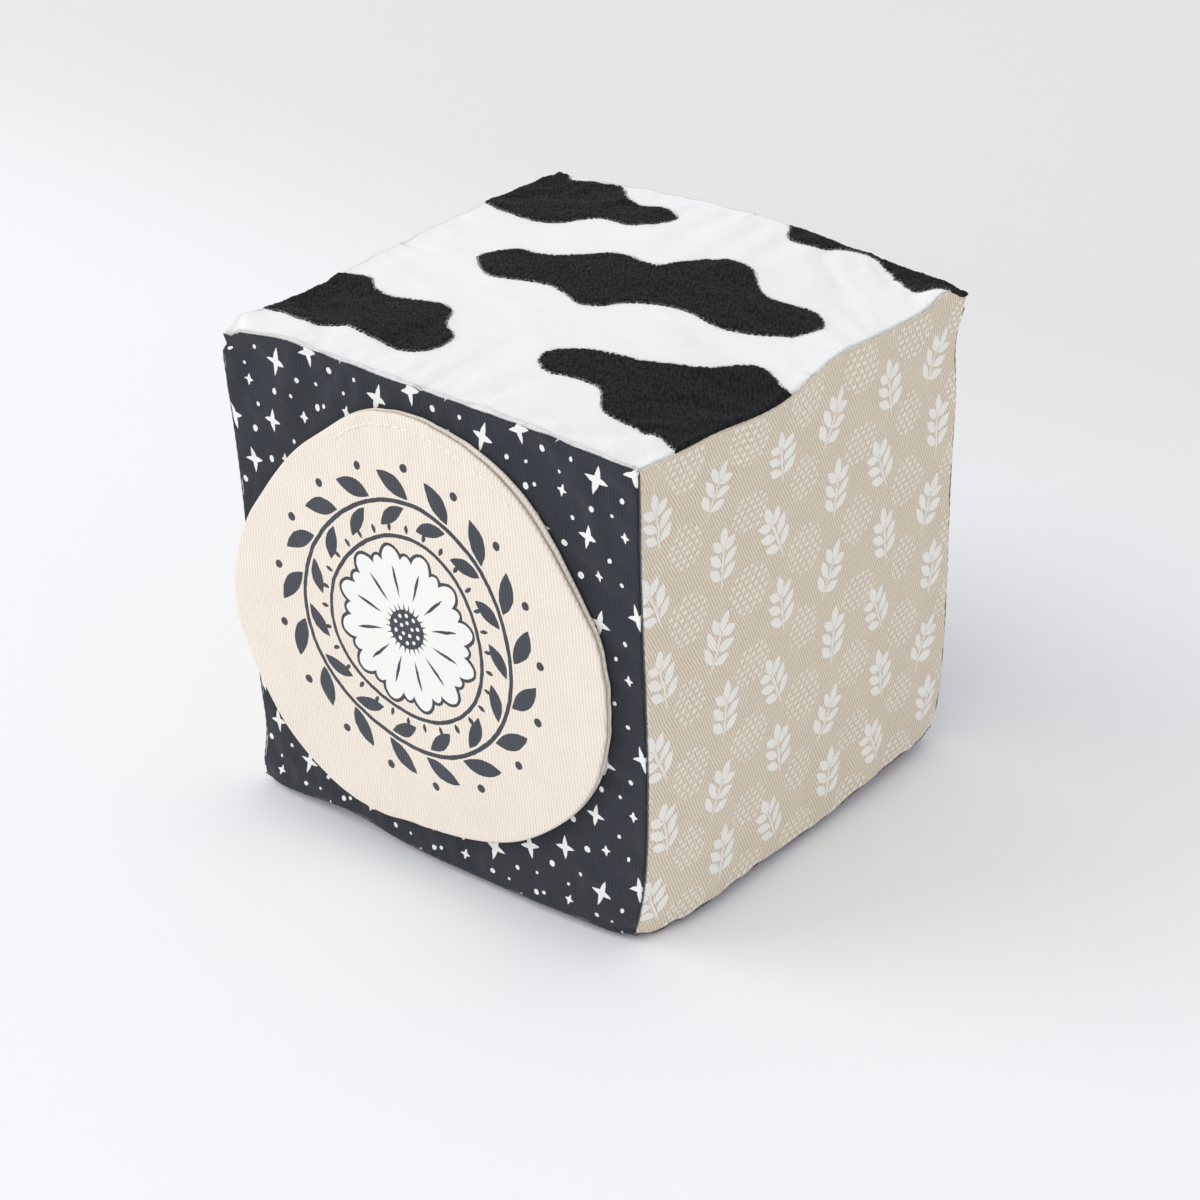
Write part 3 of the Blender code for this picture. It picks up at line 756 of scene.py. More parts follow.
def twill_material(name, colour, pitch, lean, depth, print_layers=None, sheen=0.25):
    """Cotton twill: dull, with slanting ribs, a random slub tone, a painted highlight along the ribs' tops,
    and screen-printed ink.

    print_layers takes the tree and the wavering place, and gives (mask, ink colour) pairs, lowest first.
    """
    material, tree, shader = new_material(name, 0.92, sheen)
    cloth = cloth_place(tree)
    height = twill_height(tree, cloth, pitch, lean)
    slubs = add_node(tree, "ShaderNodeTexNoise", {"Vector": cloth, "Scale": 0.11, "Detail": 5})
    # Slubs vary the tone at random, and the ribs' height paints a highlight along each rib's top
    lit = add_node(
        tree, "ShaderNodeMath", {0: slubs.outputs["Fac"], 1: 0.3, 2: height}, operation="MULTIPLY_ADD"
    )
    tone = add_node(tree, "ShaderNodeMapRange", {"Value": lit, "From Min": 0.2, "From Max": 1.1})
    surface = surfaced(
        tree, shader, tone, (colour, 1 - depth), (colour, 1 + depth * 0.75), height, 0.08 * MM
    )
    layers = print_layers(tree, cloth_place(tree, waver=0.5)) if print_layers else ()
    for mask, ink in layers:
        # The ink takes the slubs and the painted highlight along the ribs too
        ink_slubs_and_painted_highlight = {"Factor": tone, "A": rgba(ink, 0.93), "B": rgba(ink)}
        ink_slubs_and_painted_highlight = add_node(tree, "ShaderNodeMix", ink_slubs_and_painted_highlight, data_type="RGBA").outputs["Result"]
        inked = {"Factor": mask, "A": surface, "B": ink_slubs_and_painted_highlight}
        surface = add_node(tree, "ShaderNodeMix", inked, data_type="RGBA").outputs["Result"]
    tree.links.new(surface, shader.inputs["Base Color"])
    return material


def sparkle_print(ink):
    """White four-point sparkles, small crosses and dots."""
    cell = (34, 38)
    sparkles = (
        (3, 4, 10, 3.9, 0.8), (20, 22, -12, 4.0, 0.84), (17, 6, -6, 3.3, 0.72), (31, 27, 14, 3.7, 0.78),
        (8, 31, 5, 3.5, 0.74), (28, 9.5, 2, 1.6, 0.5), (9.5, 15.5, -9, 1.8, 0.5), (20, 34.5, 6, 1.6, 0.5),
    )  # fmt: skip
    dots = (
        (10.2, 2.2, 0.9), (23.6, 2.0, 0.6), (33, 13.4, 0.9), (1.5, 14.5, 0.6), (18.8, 14.2, 0.8),
        (24.4, 14.2, 0.5), (4.0, 24.5, 0.9), (12.8, 24.8, 0.6), (27.2, 19.0, 0.7), (14.6, 33.0, 0.9),
        (27.0, 34.6, 0.6), (0.8, 35.6, 0.7), (33.0, 19.5, 0.5), (9.0, 20.2, 0.5), (12.4, 9.4, 0.6),
    )  # fmt: skip

    def layers(tree, place):
        found = []
        for x, y, turn, long, thick in sparkles:
            local = repeated(tree, place, cell, (x, y), radians(turn))
            found.append(depth_in(tree, local, "leaf", size=(long * 0.82, thick)))
            found.append(depth_in(tree, local, "leaf", angle=pi / 2, size=(long, thick)))
        found += [
            depth_in(tree, repeated(tree, place, cell, (x, y)), "disc", size=(size * 0.9, size))
            for x, y, size in dots
        ]
        return [(any_of(tree, found), ink)]

    return layers


def sprig_print(ink, faint_ink):
    """White leaf sprigs, and rounds of small dashes between them."""
    cell = (47, 42)
    sprigs = ((8, 8, -28), (31.5, 29, 24), (34, 7.5, 8), (10.5, 30, -6))
    rounds = ((20.5, 18.5, 7.8, 6.4), (44, 20, 7.4, 6.8), (21.5, 39.6, 7.2, 5.6), (43.5, 40, 6.2, 6.0))

    def layers(tree, place):
        dash_cell = (2.5, 3.5)
        dashes = [
            depth_in(tree, repeated(tree, place, dash_cell, at, radians(24)), "disc", size=(0.72, 0.46))
            for at in ((0, 0), (1.25, 1.75))
        ]
        blobs = [
            depth_in(tree, repeated(tree, place, cell, (x, y)), "disc", size=(wide, high))
            for x, y, wide, high in rounds
        ]
        spotted = add_node(
            tree,
            "ShaderNodeMath",
            {0: any_of(tree, dashes), 1: any_of(tree, blobs)},
            operation="MULTIPLY",
        )
        leaves = []
        for x, y, turn in sprigs:
            local = repeated(tree, place, cell, (x, y), radians(turn))
            mirrored = add_node(tree, "ShaderNodeVectorMath", {0: local}, operation="ABSOLUTE")
            parts = [add_node(tree, "ShaderNodeSeparateXYZ", {0: vector}) for vector in (mirrored, local)]
            half = add_node(
                tree, "ShaderNodeCombineXYZ", {0: parts[0].outputs[0], 1: parts[1].outputs[1]}
            )
            leaves.append(depth_in(tree, half, "leaf", (0, 6.6), pi / 2, (2.9, 1.45)))
            leaves.append(depth_in(tree, half, "leaf", (0, -0.5), pi / 2, (7.4, 0.36)))
            for rise, reach in ((3.2, 2.7), (-0.4, 3.1), (-4.2, 2.9)):
                leaves.append(
                    depth_in(tree, half, "leaf", (reach * 0.95, rise + 1.4), radians(38), (reach, 1.3))
                )
        return [(spotted, faint_ink), (any_of(tree, leaves), ink)]

    return layers


def ring_of(tree, angle, radius, count, at, kind, tilt, size, shift=0.0):
    """The same motif this many times round a circle, tilted from the circle's own direction."""
    along = add_node(
        tree, "ShaderNodeMath", {0: angle, 1: count / (2 * pi), 2: shift}, operation="MULTIPLY_ADD"
    )
    along = add_node(tree, "ShaderNodeMath", {0: along}, operation="FRACT")
    along = add_node(tree, "ShaderNodeMath", {0: along, 1: 0.5}, operation="SUBTRACT")
    along = add_node(tree, "ShaderNodeMath", {0: along, 1: 2 * pi * at / count}, operation="MULTIPLY")
    out = add_node(tree, "ShaderNodeMath", {0: radius, 1: at}, operation="SUBTRACT")
    place = add_node(tree, "ShaderNodeCombineXYZ", {0: along, 1: out})
    return depth_in(tree, place, kind, angle=radians(tilt), size=size)


def daisy_print(dark_ink, white_ink):
    """A daisy inside a wreath of leaves and berries, drawn with a broad pen."""

    def layers(tree, place):
        centre = (FLAP_ASIDE / MM, FLAP_ABOVE / MM, 0)
        middle = add_node(tree, "ShaderNodeVectorMath", {0: place, 1: centre}, operation="SUBTRACT")
        parts = add_node(tree, "ShaderNodeSeparateXYZ", {0: middle})
        angle = add_node(
            tree, "ShaderNodeMath", {0: parts.outputs[1], 1: parts.outputs[0]}, operation="ARCTAN2"
        )
        reach = add_node(tree, "ShaderNodeVectorMath", {0: middle}, operation="LENGTH").outputs["Value"]
        sway = add_node(tree, "ShaderNodeMath", {0: angle, 1: 3.0, 2: 0.8}, operation="MULTIPLY_ADD")
        sway = add_node(tree, "ShaderNodeMath", {0: sway}, operation="SINE")
        radius = add_node(tree, "ShaderNodeMath", {0: sway, 1: 0.8, 2: reach}, operation="MULTIPLY_ADD")
        stems = []
        for at, half in ((33.8, 0.6), (24.6, 0.55)):
            off = add_node(tree, "ShaderNodeMath", {0: radius, 1: at}, operation="SUBTRACT")
            off = add_node(tree, "ShaderNodeMath", {0: off}, operation="ABSOLUTE")
            stems.append(add_node(tree, "ShaderNodeMath", {0: half, 1: off}, operation="SUBTRACT"))
        wreath = [
            ring_of(tree, angle, radius, 17, 38.2, "leaf", 34, (5.8, 2.3)),
            ring_of(tree, angle, radius, 15, 30.0, "leaf", -30, (4.9, 1.9), 0.4),
            ring_of(tree, angle, radius, 17, 43.0, "disc", 0, (1.15, 1.15), 0.25),
            ring_of(tree, angle, radius, 30, 26.9, "leaf", 90, (1.3, 0.6), 0.1),
        ]
        outline = [
            ring_of(tree, angle, reach, 12, 13.4, "disc", 90, (9.4, 3.5)),
            ring_of(tree, angle, reach, 12, 12.2, "disc", 90, (8.6, 2.7), 0.5),
        ]
        petals = [
            ring_of(tree, angle, reach, 12, 13.4, "disc", 90, (8.6, 2.75)),
            ring_of(tree, angle, reach, 12, 12.2, "disc", 90, (7.8, 1.9), 0.5),
        ]
        veins = [ring_of(tree, angle, reach, 12, 12.6, "leaf", 90, (4.4, 0.42))]
        heart = [depth_in(tree, middle, "disc", size=(5.6, 5.3))]
        seeds = [
            ring_of(tree, angle, reach, 10, 3.8, "disc", 0, (0.55, 0.55)),
            ring_of(tree, angle, reach, 5, 1.8, "disc", 0, (0.52, 0.52), 0.3),
        ]
        inked = ((stems + wreath + outline, dark_ink), (petals, white_ink), (veins, dark_ink))
        inked += ((heart, dark_ink), (seeds, white_ink))
        return [(any_of(tree, depths), ink) for depths, ink in inked]

    return layers


def plush_material(looks):
    """Cotton plush: matt white, its short pile lying close and soft enough that only its grain shows."""
    # A fibre of the pile is too fine to show, so the grain is drawn half a millimetre wide
    material, tree, shader = new_material("brushed_cotton_plush", 1.0, 0.5, 0.1)
    shader.inputs["Subsurface Weight"].default_value = 0.5
    shader.inputs["Subsurface Scale"].default_value = 0.8 * MM
    shader.inputs["Subsurface Radius"].default_value = (1, 1, 1)
    cloth = cloth_place(tree)
    pile = add_node(
        tree, "ShaderNodeTexNoise", {"Vector": cloth, "Scale": 1 / 0.5, "Detail": 3, "Roughness": 0.7}
    )
    tone = add_node(tree, "ShaderNodeMapRange", {"Value": pile, "From Min": 0.3, "From Max": 0.7})
    surfaced(tree, shader, tone, (looks.plush, 0.965), (looks.plush, 1.01), pile, 0.09 * MM)
    return material


def embroidery_material(looks):
    """Black thread laid in close rows of short slanting stitches, each with a painted highlight along its
    top and a random mottle.
    """
    # A stitch's thread is too fine to show, so each is drawn 0.6 mm wide and 3 mm long
    material, tree, shader = new_material("black_stitched_thread", 0.75, 0.02, 0.16)
    cloth = cloth_place(tree)
    slanted = add_node(
        tree,
        "ShaderNodeMapping",
        {"Vector": cloth, "Rotation": (0, 0, radians(127)), "Scale": (3.0, 0.62, 1)},
        vector_type="TEXTURE",
    )
    stitches = add_node(
        tree,
        "ShaderNodeTexVoronoi",
        {"Vector": slanted, "Scale": 1, "Randomness": 0.9},
        voronoi_dimensions="2D",
    )
    ridge = add_node(
        tree, "ShaderNodeMath", {0: stitches.outputs["Distance"], 1: -1, 2: 0.8}, operation="MULTIPLY_ADD"
    )
    worn = add_node(tree, "ShaderNodeTexNoise", {"Vector": cloth, "Scale": 1 / 1.6, "Detail": 4})
    # The colour is a random mottle plus a painted highlight along each stitch's ridge
    lit = add_node(
        tree, "ShaderNodeMath", {0: worn.outputs["Fac"], 1: 0.6, 2: ridge}, operation="MULTIPLY_ADD"
    )
    tone = add_node(tree, "ShaderNodeMapRange", {"Value": lit, "From Min": 0.4, "From Max": 1.05})
    surfaced(tree, shader, tone, (looks.stitching, 0.2), (looks.stitching, 2.8), ridge, 0.4 * MM)
    return material


def thread_material(name, colour, pitch=0.5):
    """Spun polyester thread: two plies that twist round each other, with a faint shine and painted shade in
    the grooves between the plies.
    """
    material, tree, shader = new_material(name, 0.6, 0.3, 0.35)
    place = add_node(tree, "ShaderNodeTexCoord")
    plies = add_node(
        tree,
        "ShaderNodeTexWave",
        {"Vector": place.outputs["Object"], "Scale": 0.314 / (pitch * MM), "Distortion": 1, "Detail": 1},
        bands_direction="DIAGONAL",
    )
    fac = plies.outputs["Fac"]
    # The colour is darker between the plies: painted shade in the grooves of the twist
    surfaced(tree, shader, plies, (colour, 0.8), (colour, 1.05), fac, 0.05 * MM)
    return material


def foam_material():
    """Open-cell polyurethane foam: pale yellow, with round pores under a millimetre across, each painted
    darker towards its middle as shade in its hollow.
    """
    material, tree, shader = new_material("open_cell_polyurethane_foam", 0.95, 0.1)
    place = add_node(tree, "ShaderNodeTexCoord")
    pores = {"Vector": place.outputs["Object"], "Scale": 1 / (0.9 * MM)}
    pores = add_node(tree, "ShaderNodeTexVoronoi", pores).outputs["Distance"]
    # Each pore is darker towards its middle: painted shade in its hollow
    surfaced(tree, shader, pores, (linear("#A89A6C"),), (linear("#EADFB9"),), pores, 0.3 * MM)
    return material


def wadding_material():
    """Needled cotton wadding: off-white and cloudy, with crossing fibres."""
    material, tree, shader = new_material("needled_cotton_wadding", 1.0, 0.3, 0.1)
    cloth = cloth_place(tree)
    fibres = add_node(
        tree, "ShaderNodeTexNoise", {"Vector": cloth, "Scale": 1 / 0.9, "Detail": 6, "Distortion": 2.5}
    )
    surfaced(tree, shader, fibres, (linear("#CFCAB8"),), (linear("#F1EEE2"),), fibres, 0.2 * MM)
    return material


def floor_material():
    """Matt white paint with a slight mottle. It turns to a warmer, greyer white towards the backdrop."""
    material, tree, shader = new_material("matt_white_paint", 0.9, 0.0, 0.15)
    place = add_node(tree, "ShaderNodeTexCoord").outputs["Object"]
    mottle = add_node(tree, "ShaderNodeTexNoise", {"Vector": place, "Scale": 1 / 0.4, "Detail": 3})
    parts = add_node(tree, "ShaderNodeSeparateXYZ", {0: place})
    back = add_node(
        tree,
        "ShaderNodeMapRange",
        {"Value": parts.outputs[1], "From Min": 0.14, "From Max": 0.34},
        interpolation_type="SMOOTHSTEP",
    )
    paint, mottled = (
        add_node(tree, "ShaderNodeMix", {"Factor": share, "A": low, "B": high}, data_type="RGBA")
        for share, low, high in (
            (back, rgba(linear("#F7F8FB")), rgba(linear("#EBEAE9"))),
            (mottle, (0.985, 0.985, 0.985, 1), (1.0, 1.0, 1.0, 1)),
        )
    )
    both = {0: paint.outputs["Result"], 1: mottled.outputs["Result"]}
    surface = add_node(tree, "ShaderNodeVectorMath", both, operation="MULTIPLY")
    tree.links.new(surface.outputs[0], shader.inputs["Base Color"])
    return material


def dressed(obj, body, material, slot, *nodes):
    """Gives a piece its material and body, and lets it stand for its CAD nodes."""
    obj.data.materials.clear()
    obj.data.materials.append(material)
    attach(obj, body)
    if nodes:
        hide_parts(*nodes)
    return obj


def bent(obj, material, slot, *nodes):
    """Gives a cloth of the flap its material, makes its transform part of its mesh, and lets it stand for
    its CAD nodes.
    """
    obj.data.materials.clear()
    obj.data.materials.append(material)
    fold = flap_places(np.array([[FLAP_ASIDE, HINGE_HEIGHT]]), FLAP_FRONT)[0]
    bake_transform(obj)
    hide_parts(*nodes)
    return obj


class BlockLooks(bpy.types.PropertyGroup):
    """Sizes and colours of the block that a user would change."""

    wrinkle: bpy.props.FloatProperty(
        name="Wrinkles", description="Most that a wrinkle stands out", default=0.0006, unit="LENGTH"
    )
    pucker: bpy.props.FloatProperty(
        name="Puckers", description="Height of the puckers at the seams", default=0.00016, unit="LENGTH"
    )
    slack: bpy.props.FloatProperty(
        name="Slack", description="How much larger the cover is cut than its filling", default=0.010
    )
    pressure: bpy.props.FloatProperty(
        name="Filling", description="How hard the filling presses on the cover", default=4.0
    )
    stitch_length: bpy.props.FloatProperty(
        name="Stitch", description="Length of one stitch", default=0.0028, unit="LENGTH"
    )
    pile: bpy.props.FloatProperty(
        name="Pile", description="Length of the plush's loose fibres", default=0.0015, unit="LENGTH"
    )
    bend: bpy.props.FloatProperty(
        name="Bend",
        description="Height of cloth that bends when the flap lifts",
        default=0.008,
        unit="LENGTH",
    )
    dark_twill: bpy.props.FloatVectorProperty(
        name="Dark twill", description="Front and back", subtype="COLOR", default=linear("#30333A")
    )
    beige_twill: bpy.props.FloatVectorProperty(
        name="Beige twill", description="Right and left", subtype="COLOR", default=linear("#D9CCB9")
    )
    bottom_twill: bpy.props.FloatVectorProperty(
        name="Bottom twill", description="Bottom", subtype="COLOR", default=linear("#9C8E9B")
    )
    flap_twill: bpy.props.FloatVectorProperty(
        name="Flap twill", description="The flap's cloths", subtype="COLOR", default=linear("#EBE0D3")
    )
    plush: bpy.props.FloatVectorProperty(
        name="Plush", description="Top", subtype="COLOR", default=linear("#F9F9FA")
    )
    stitching: bpy.props.FloatVectorProperty(
        name="Stitching", description="Embroidered patches", subtype="COLOR", default=linear("#121315")
    )
    dark_ink: bpy.props.FloatVectorProperty(
        name="Dark ink", description="Print on the flap", subtype="COLOR", default=linear("#41454C")
    )
    key_light: bpy.props.FloatProperty(
        name="Key light", description="Power of the large soft lamp", default=26.0, unit="POWER"
    )
    front_light: bpy.props.FloatProperty(
        name="Front light", description="Power of the lamp in front", default=3.0, unit="POWER"
    )
    room_light: bpy.props.FloatProperty(
        name="Room light", description="Strength of the even light all round", default=0.83
    )


class BLOCK_OT_foam(bpy.types.Operator):
    """Add the foam filling, its edges pared off for the seam allowances"""

    bl_idname = "block.foam"
    bl_label = "Foam"

    def execute(self, context):
        side = face_height(TWILL) - TWILL - CORE_GAP
        top = face_height(PLUSH) - PLUSH - CORE_GAP
        pared = 2 * max(side, top) - 2 * HALF + (SEAM_ALLOWANCE + CORE_GAP) / DIAGONAL
        places, faces, _ = cube_grid(side, 48)
        # Each pass pares the three kinds of edge once more, so that they also meet at the corners
        for _ in range(6):
            for one, two in ((0, 1), (1, 2), (2, 0)):
                over = np.abs(places[:, one]) + np.abs(places[:, two]) - (2 * side - pared)
                over = np.clip(over, 0, None) / 2
                for axis in (one, two):
                    places[:, axis] -= np.sign(places[:, axis]) * over
        foam = mesh_object("foam_core", shaped(places), faces)
        dressed(foam, "block", foam_material(), "foam", "foam_core")
        return {"FINISHED"}


class BLOCK_OT_cover(bpy.types.Operator):
    """Add the cover's six panels, each with the allowances that turn in at its seams"""

    bl_idname = "block.cover"
    bl_label = "Cover"

    def execute(self, context):
        looks = context.scene.block_looks
        Cover.simulate(looks.slack, looks.pressure)
        dark = twill_material(
            "printed_dark_cotton_twill", looks.dark_twill, 0.95, radians(-8), 0.14,
            sparkle_print(linear("#F1F1F0")), 0.12,
        )  # fmt: skip
        beige = twill_material(
            "printed_beige_cotton_twill", looks.beige_twill, 0.9, radians(-25), 0.25,
            sprig_print(linear("#F2F1EC"), linear("#EFECE2")),
        )  # fmt: skip
        plain = twill_material("plain_cotton_twill", looks.bottom_twill, 0.9, radians(20), 0.12)
        finishes = {
            "top": (plush_material(looks), "white_plush", 180),
            "front": (dark, "dark_twill", 116),
            "back": (dark, "dark_twill", 116),
            "right": (beige, "beige_twill", 116),
            "left": (beige, "beige_twill", 116),
            "bottom": (plain, "bottom_twill", 80),
        }
        for side, (material, slot, cells) in finishes.items():
            name = side + "_panel"
            panel = self.panel(name, side, cells)
            dressed(panel, "block", material, slot, name)
        return {"FINISHED"}

    def panel(self, name, side, cells):
        """One panel: its face, the fold at each seam and the allowance behind it, as one cloth."""
        cloth = CLOTHS[side]
        half, radius = flat_half(cloth), COVER_FOLD
        uv, index, quads = square_grid(half, cells)
        steps = [*np.linspace(0, FOLD_TURN * radius, 10)[1:]]
        steps += [steps[-1] + SEAM_ALLOWANCE * share for share in (0.15, 0.5, 1.0)]
        rows = [np.concatenate([index[0, :-1], index[:-1, -1], index[-1, :0:-1], index[:0:-1, 0]])]
        edge = uv[rows[0]]
        count = len(uv)
        parts = [uv]
        for over in steps:
            ring = edge.copy()
            for axis in (0, 1):
                on = np.abs(np.abs(edge[:, axis]) - half) < MM / 100
                ring[on, axis] += np.sign(edge[on, axis]) * over
            parts.append(ring)
            rows.append(count + np.arange(len(edge)))
            count += len(edge)
        uv = np.concatenate(parts)
        faces = [*quads, *(quad[::-1] for quad in strip(rows))]
        return thickened(mesh_object(name, Cover.places(side, uv), faces, uv), COVER_CLOTH)


class BLOCK_OT_patches(bpy.types.Operator):
    """Add the areas of black stitching on the plush"""

    bl_idname = "block.patches"
    bl_label = "Embroidered patches"

    def execute(self, context):
        material = embroidery_material(context.scene.block_looks)
        spacing = 0.4 * MM
        reach = flat_half(PLUSH) + COVER_FOLD * radians(118)
        for number, (name, shares) in enumerate(PATCH_OUTLINE_SHARES.items()):
            outline = clipped(smooth_outline(np.array(shares) * EDGE - HALF, 0.5 * MM), reach)
            outline = evenly(outline, spacing)
            rng = np.random.default_rng(40 + number)
            ahead = np.roll(outline, -1, axis=0) - np.roll(outline, 1, axis=0)
            free = (np.abs(outline).max(axis=1) < reach - MM / 2)[:, None]
            run = np.arange(len(outline))[:, None] * spacing
            # Each stitch ends a little in or out of the edge, and the ends run in small and larger waves
            teeth = rng.uniform(-0.22, 0.22, (len(outline), 1)) * MM
            teeth += ripple(run, 60 + number, 1 * MM, 1.8 * MM) * 0.26 * MM
            teeth += ripple(run, 70 + number, 3 * MM, 9 * MM) * 0.16 * MM
            self.patch(name, outline + right_of(ahead) * teeth * free, rng, material)
        return {"FINISHED"}

    def patch(self, name, outline, rng, material):
        """A low padded body of stitches: rows of threads over the plush, tapering at its ragged edge."""
        low, high = outline.min(axis=0), outline.max(axis=0)
        pitch = 0.36 * MM
        across = np.arange(low[0], high[0], pitch)
        along = np.arange(low[1], high[1], pitch)
        u, v = (grid.ravel() for grid in np.meshgrid(across, along))
        grid = np.stack([u, v], axis=1) + rng.uniform(-0.06, 0.06, (u.size, 2)) * MM
        grid = grid[inside(grid, outline)]
        grid = grid[distance_to(grid, outline) > 0.24 * MM]
        places = [Vector(place) for place in np.concatenate([outline, grid]) / MM]
        rim_edges = [(k, (k + 1) % len(outline)) for k in range(len(outline))]
        flat, _, faces, *_ = delaunay_2d_cdt(places, rim_edges, [list(range(len(outline)))], 1, 1e-6)
        uv = np.array([place[:] for place in flat]) * MM
        faces = np.array(faces)
        a, b, c = (uv[faces[:, k]] for k in range(3))
        turned = (b - a)[:, 0] * (c - a)[:, 1] - (b - a)[:, 1] * (c - a)[:, 0] < 0
        faces[turned] = faces[turned][:, ::-1]
        inward = distance_to(uv, outline)
        full = np.sqrt(np.clip(inward / PATCH_SLOPE, 0, 1))
        # The rows sway across the patch
        row = uv[:, 1] + 2.2 * MM * np.sin(uv[:, 0] / (12 * MM))
        row = row + 0.7 * MM * undulation(uv, 81, 6 * MM, 16 * MM)
        across = row / ROW_PITCH % 1 * 2 - 1
        uneven = 0.6 + 0.4 * undulation(uv, 82, 5 * MM, 14 * MM)
        rows = np.sqrt(1 - 0.96 * across**2) * uneven * ROW_RISE
        lift = 0.04 * MM + full * (PATCH_RISE + rows + rng.uniform(-0.12, 0.12, len(uv)) * MM)
        upper = Cover.places("top", uv, lift)
        lower = Cover.places("top", uv, -0.25 * MM)
        directed = np.concatenate([faces[:, [0, 1]], faces[:, [1, 2]], faces[:, [2, 0]]])
        edges = np.sort(directed, axis=1)
        _, back, uses = np.unique(edges, axis=0, return_inverse=True, return_counts=True)
        border = directed[uses[back.reshape(-1)] == 1]
        count = len(uv)
        every = [*faces, *(faces[:, ::-1] + count)]
        every += [(start, start + count, end + count, end)[::-1] for start, end in border]
        patch = mesh_object(name, np.concatenate([upper, lower]), every, np.concatenate([uv, uv]))
        patch = dressed(patch, "block", material, "black_stitching", name)


class BLOCK_OT_fringe(bpy.types.Operator):
    """Add loose fibres along the plush's seams and round the patches, and the patches' loose stitch ends"""

    bl_idname = "block.fringe"
    bl_label = "Loose fibres"

    def execute(self, context):
        pile = context.scene.block_looks.pile
        half = flat_half(PLUSH)
        rng = np.random.default_rng(11)
        outlines = [
            evenly(smooth_outline(np.array(shares) * EDGE - HALF, 0.5 * MM), 0.2 * MM)
            for shares in PATCH_OUTLINE_SHARES.values()
        ]
        spread = rng.uniform(-half, half, (FACE_FIBRES, 2))
        along = rng.uniform(-half, half, SEAM_FIBRES)
        # Where round the fold each one stands, in degrees, and which of the four seams it stands on
        turn = np.radians(np.clip(rng.normal(45, 38, SEAM_FIBRES), -45, 105))
        over = half + COVER_FOLD * turn
        way = rng.integers(0, 4, SEAM_FIBRES)
        seams = np.where((way % 2 == 0)[:, None], np.stack([along, over], 1), np.stack([over, along], 1))
        seams[way >= 2] *= -1
        roots = np.concatenate([spread, seams])
        covered = np.zeros(len(roots), bool)
        for outline in outlines:
            covered |= inside(roots, outline)
        lean = rng.normal(0, 0.6, (len(roots), 2))
        length = pile * rng.uniform(0.5, 1.0, len(roots))
        # The longest stand low on the front's fold, where they show against the dark twill
        at_seams = np.where(way == 2, np.where(turn > 1, 0.75, 0.5), 0.3)
        length *= np.concatenate([np.full(FACE_FIBRES, 0.6), at_seams])
        tufts = [np.hstack([roots, lean, length[:, None]])[~covered]]
        tufts.append(np.hstack([roots, lean, length[:, None] * 0.7])[covered][1::9])
        ends = [np.hstack([roots, lean, length[:, None] * 0.8])[covered][::3]]
        for outline in outlines:
            ahead = np.roll(outline, -1, axis=0) - outline
            aside = right_of(ahead)
            keep = np.abs(outline).max(axis=1) < half
            for found, inset, way, long in ((tufts, 0.35, -0.9, 0.75), (ends, -0.2, 0.8, 0.6)):
                root = outline + aside * (inset + rng.uniform(-0.3, 0.3, (len(outline), 1))) * MM
                lean = aside * way + rng.normal(0, 0.45, aside.shape)
                length = pile * long * rng.uniform(0.5, 1, (len(outline), 1))
                found.append(np.hstack([root, lean, length])[keep])
        plush = bpy.data.materials["brushed_cotton_plush"]
        thread = bpy.data.materials["black_stitched_thread"]
        self.fibres("top_plush_fibres", np.concatenate(tufts), 0.05 * MM, rng, plush, "white_plush")
        self.fibres("top_patch_loose_ends", np.concatenate(ends), 0.06 * MM, rng, thread, "black_stitching")
        return {"FINISHED"}

    def fibres(self, name, roots, thick, rng, material, slot):
        """Closed thin spikes on the plush. Each row holds a root, its lean and its length."""
        uv, lean, length = roots[:, :2], roots[:, 2:4], roots[:, 4]
        bottom = Cover.places("top", uv, -0.1 * MM)
        top = Cover.places("top", uv + lean * length[:, None] * 0.6, length * 0.7)
        top += rng.normal(0, 0.09, top.shape) * MM
        ahead = top - bottom
        ahead /= np.linalg.norm(ahead, axis=1)[:, None]
        right = np.cross(ahead, rng.normal(0, 1, ahead.shape))
        right /= np.linalg.norm(right, axis=1)[:, None]
        up = np.cross(right, ahead)
        thirds = (0, 2 * pi / 3, 4 * pi / 3)
        corners = [bottom + thick * (right * cos(turn) + up * sin(turn)) for turn in thirds]
        points = np.stack([*corners, top], axis=1).reshape(-1, 3)
        base = 4 * np.arange(len(uv))[:, None]
        shape = np.array([[0, 1, 3], [1, 2, 3], [2, 0, 3], [2, 1, 0]])
        faces = (base[:, :, None] + shape[None]).reshape(-1, 3)
        dressed(mesh_object(name, points, faces, np.repeat(uv, 4, axis=0)), "block", material, slot)


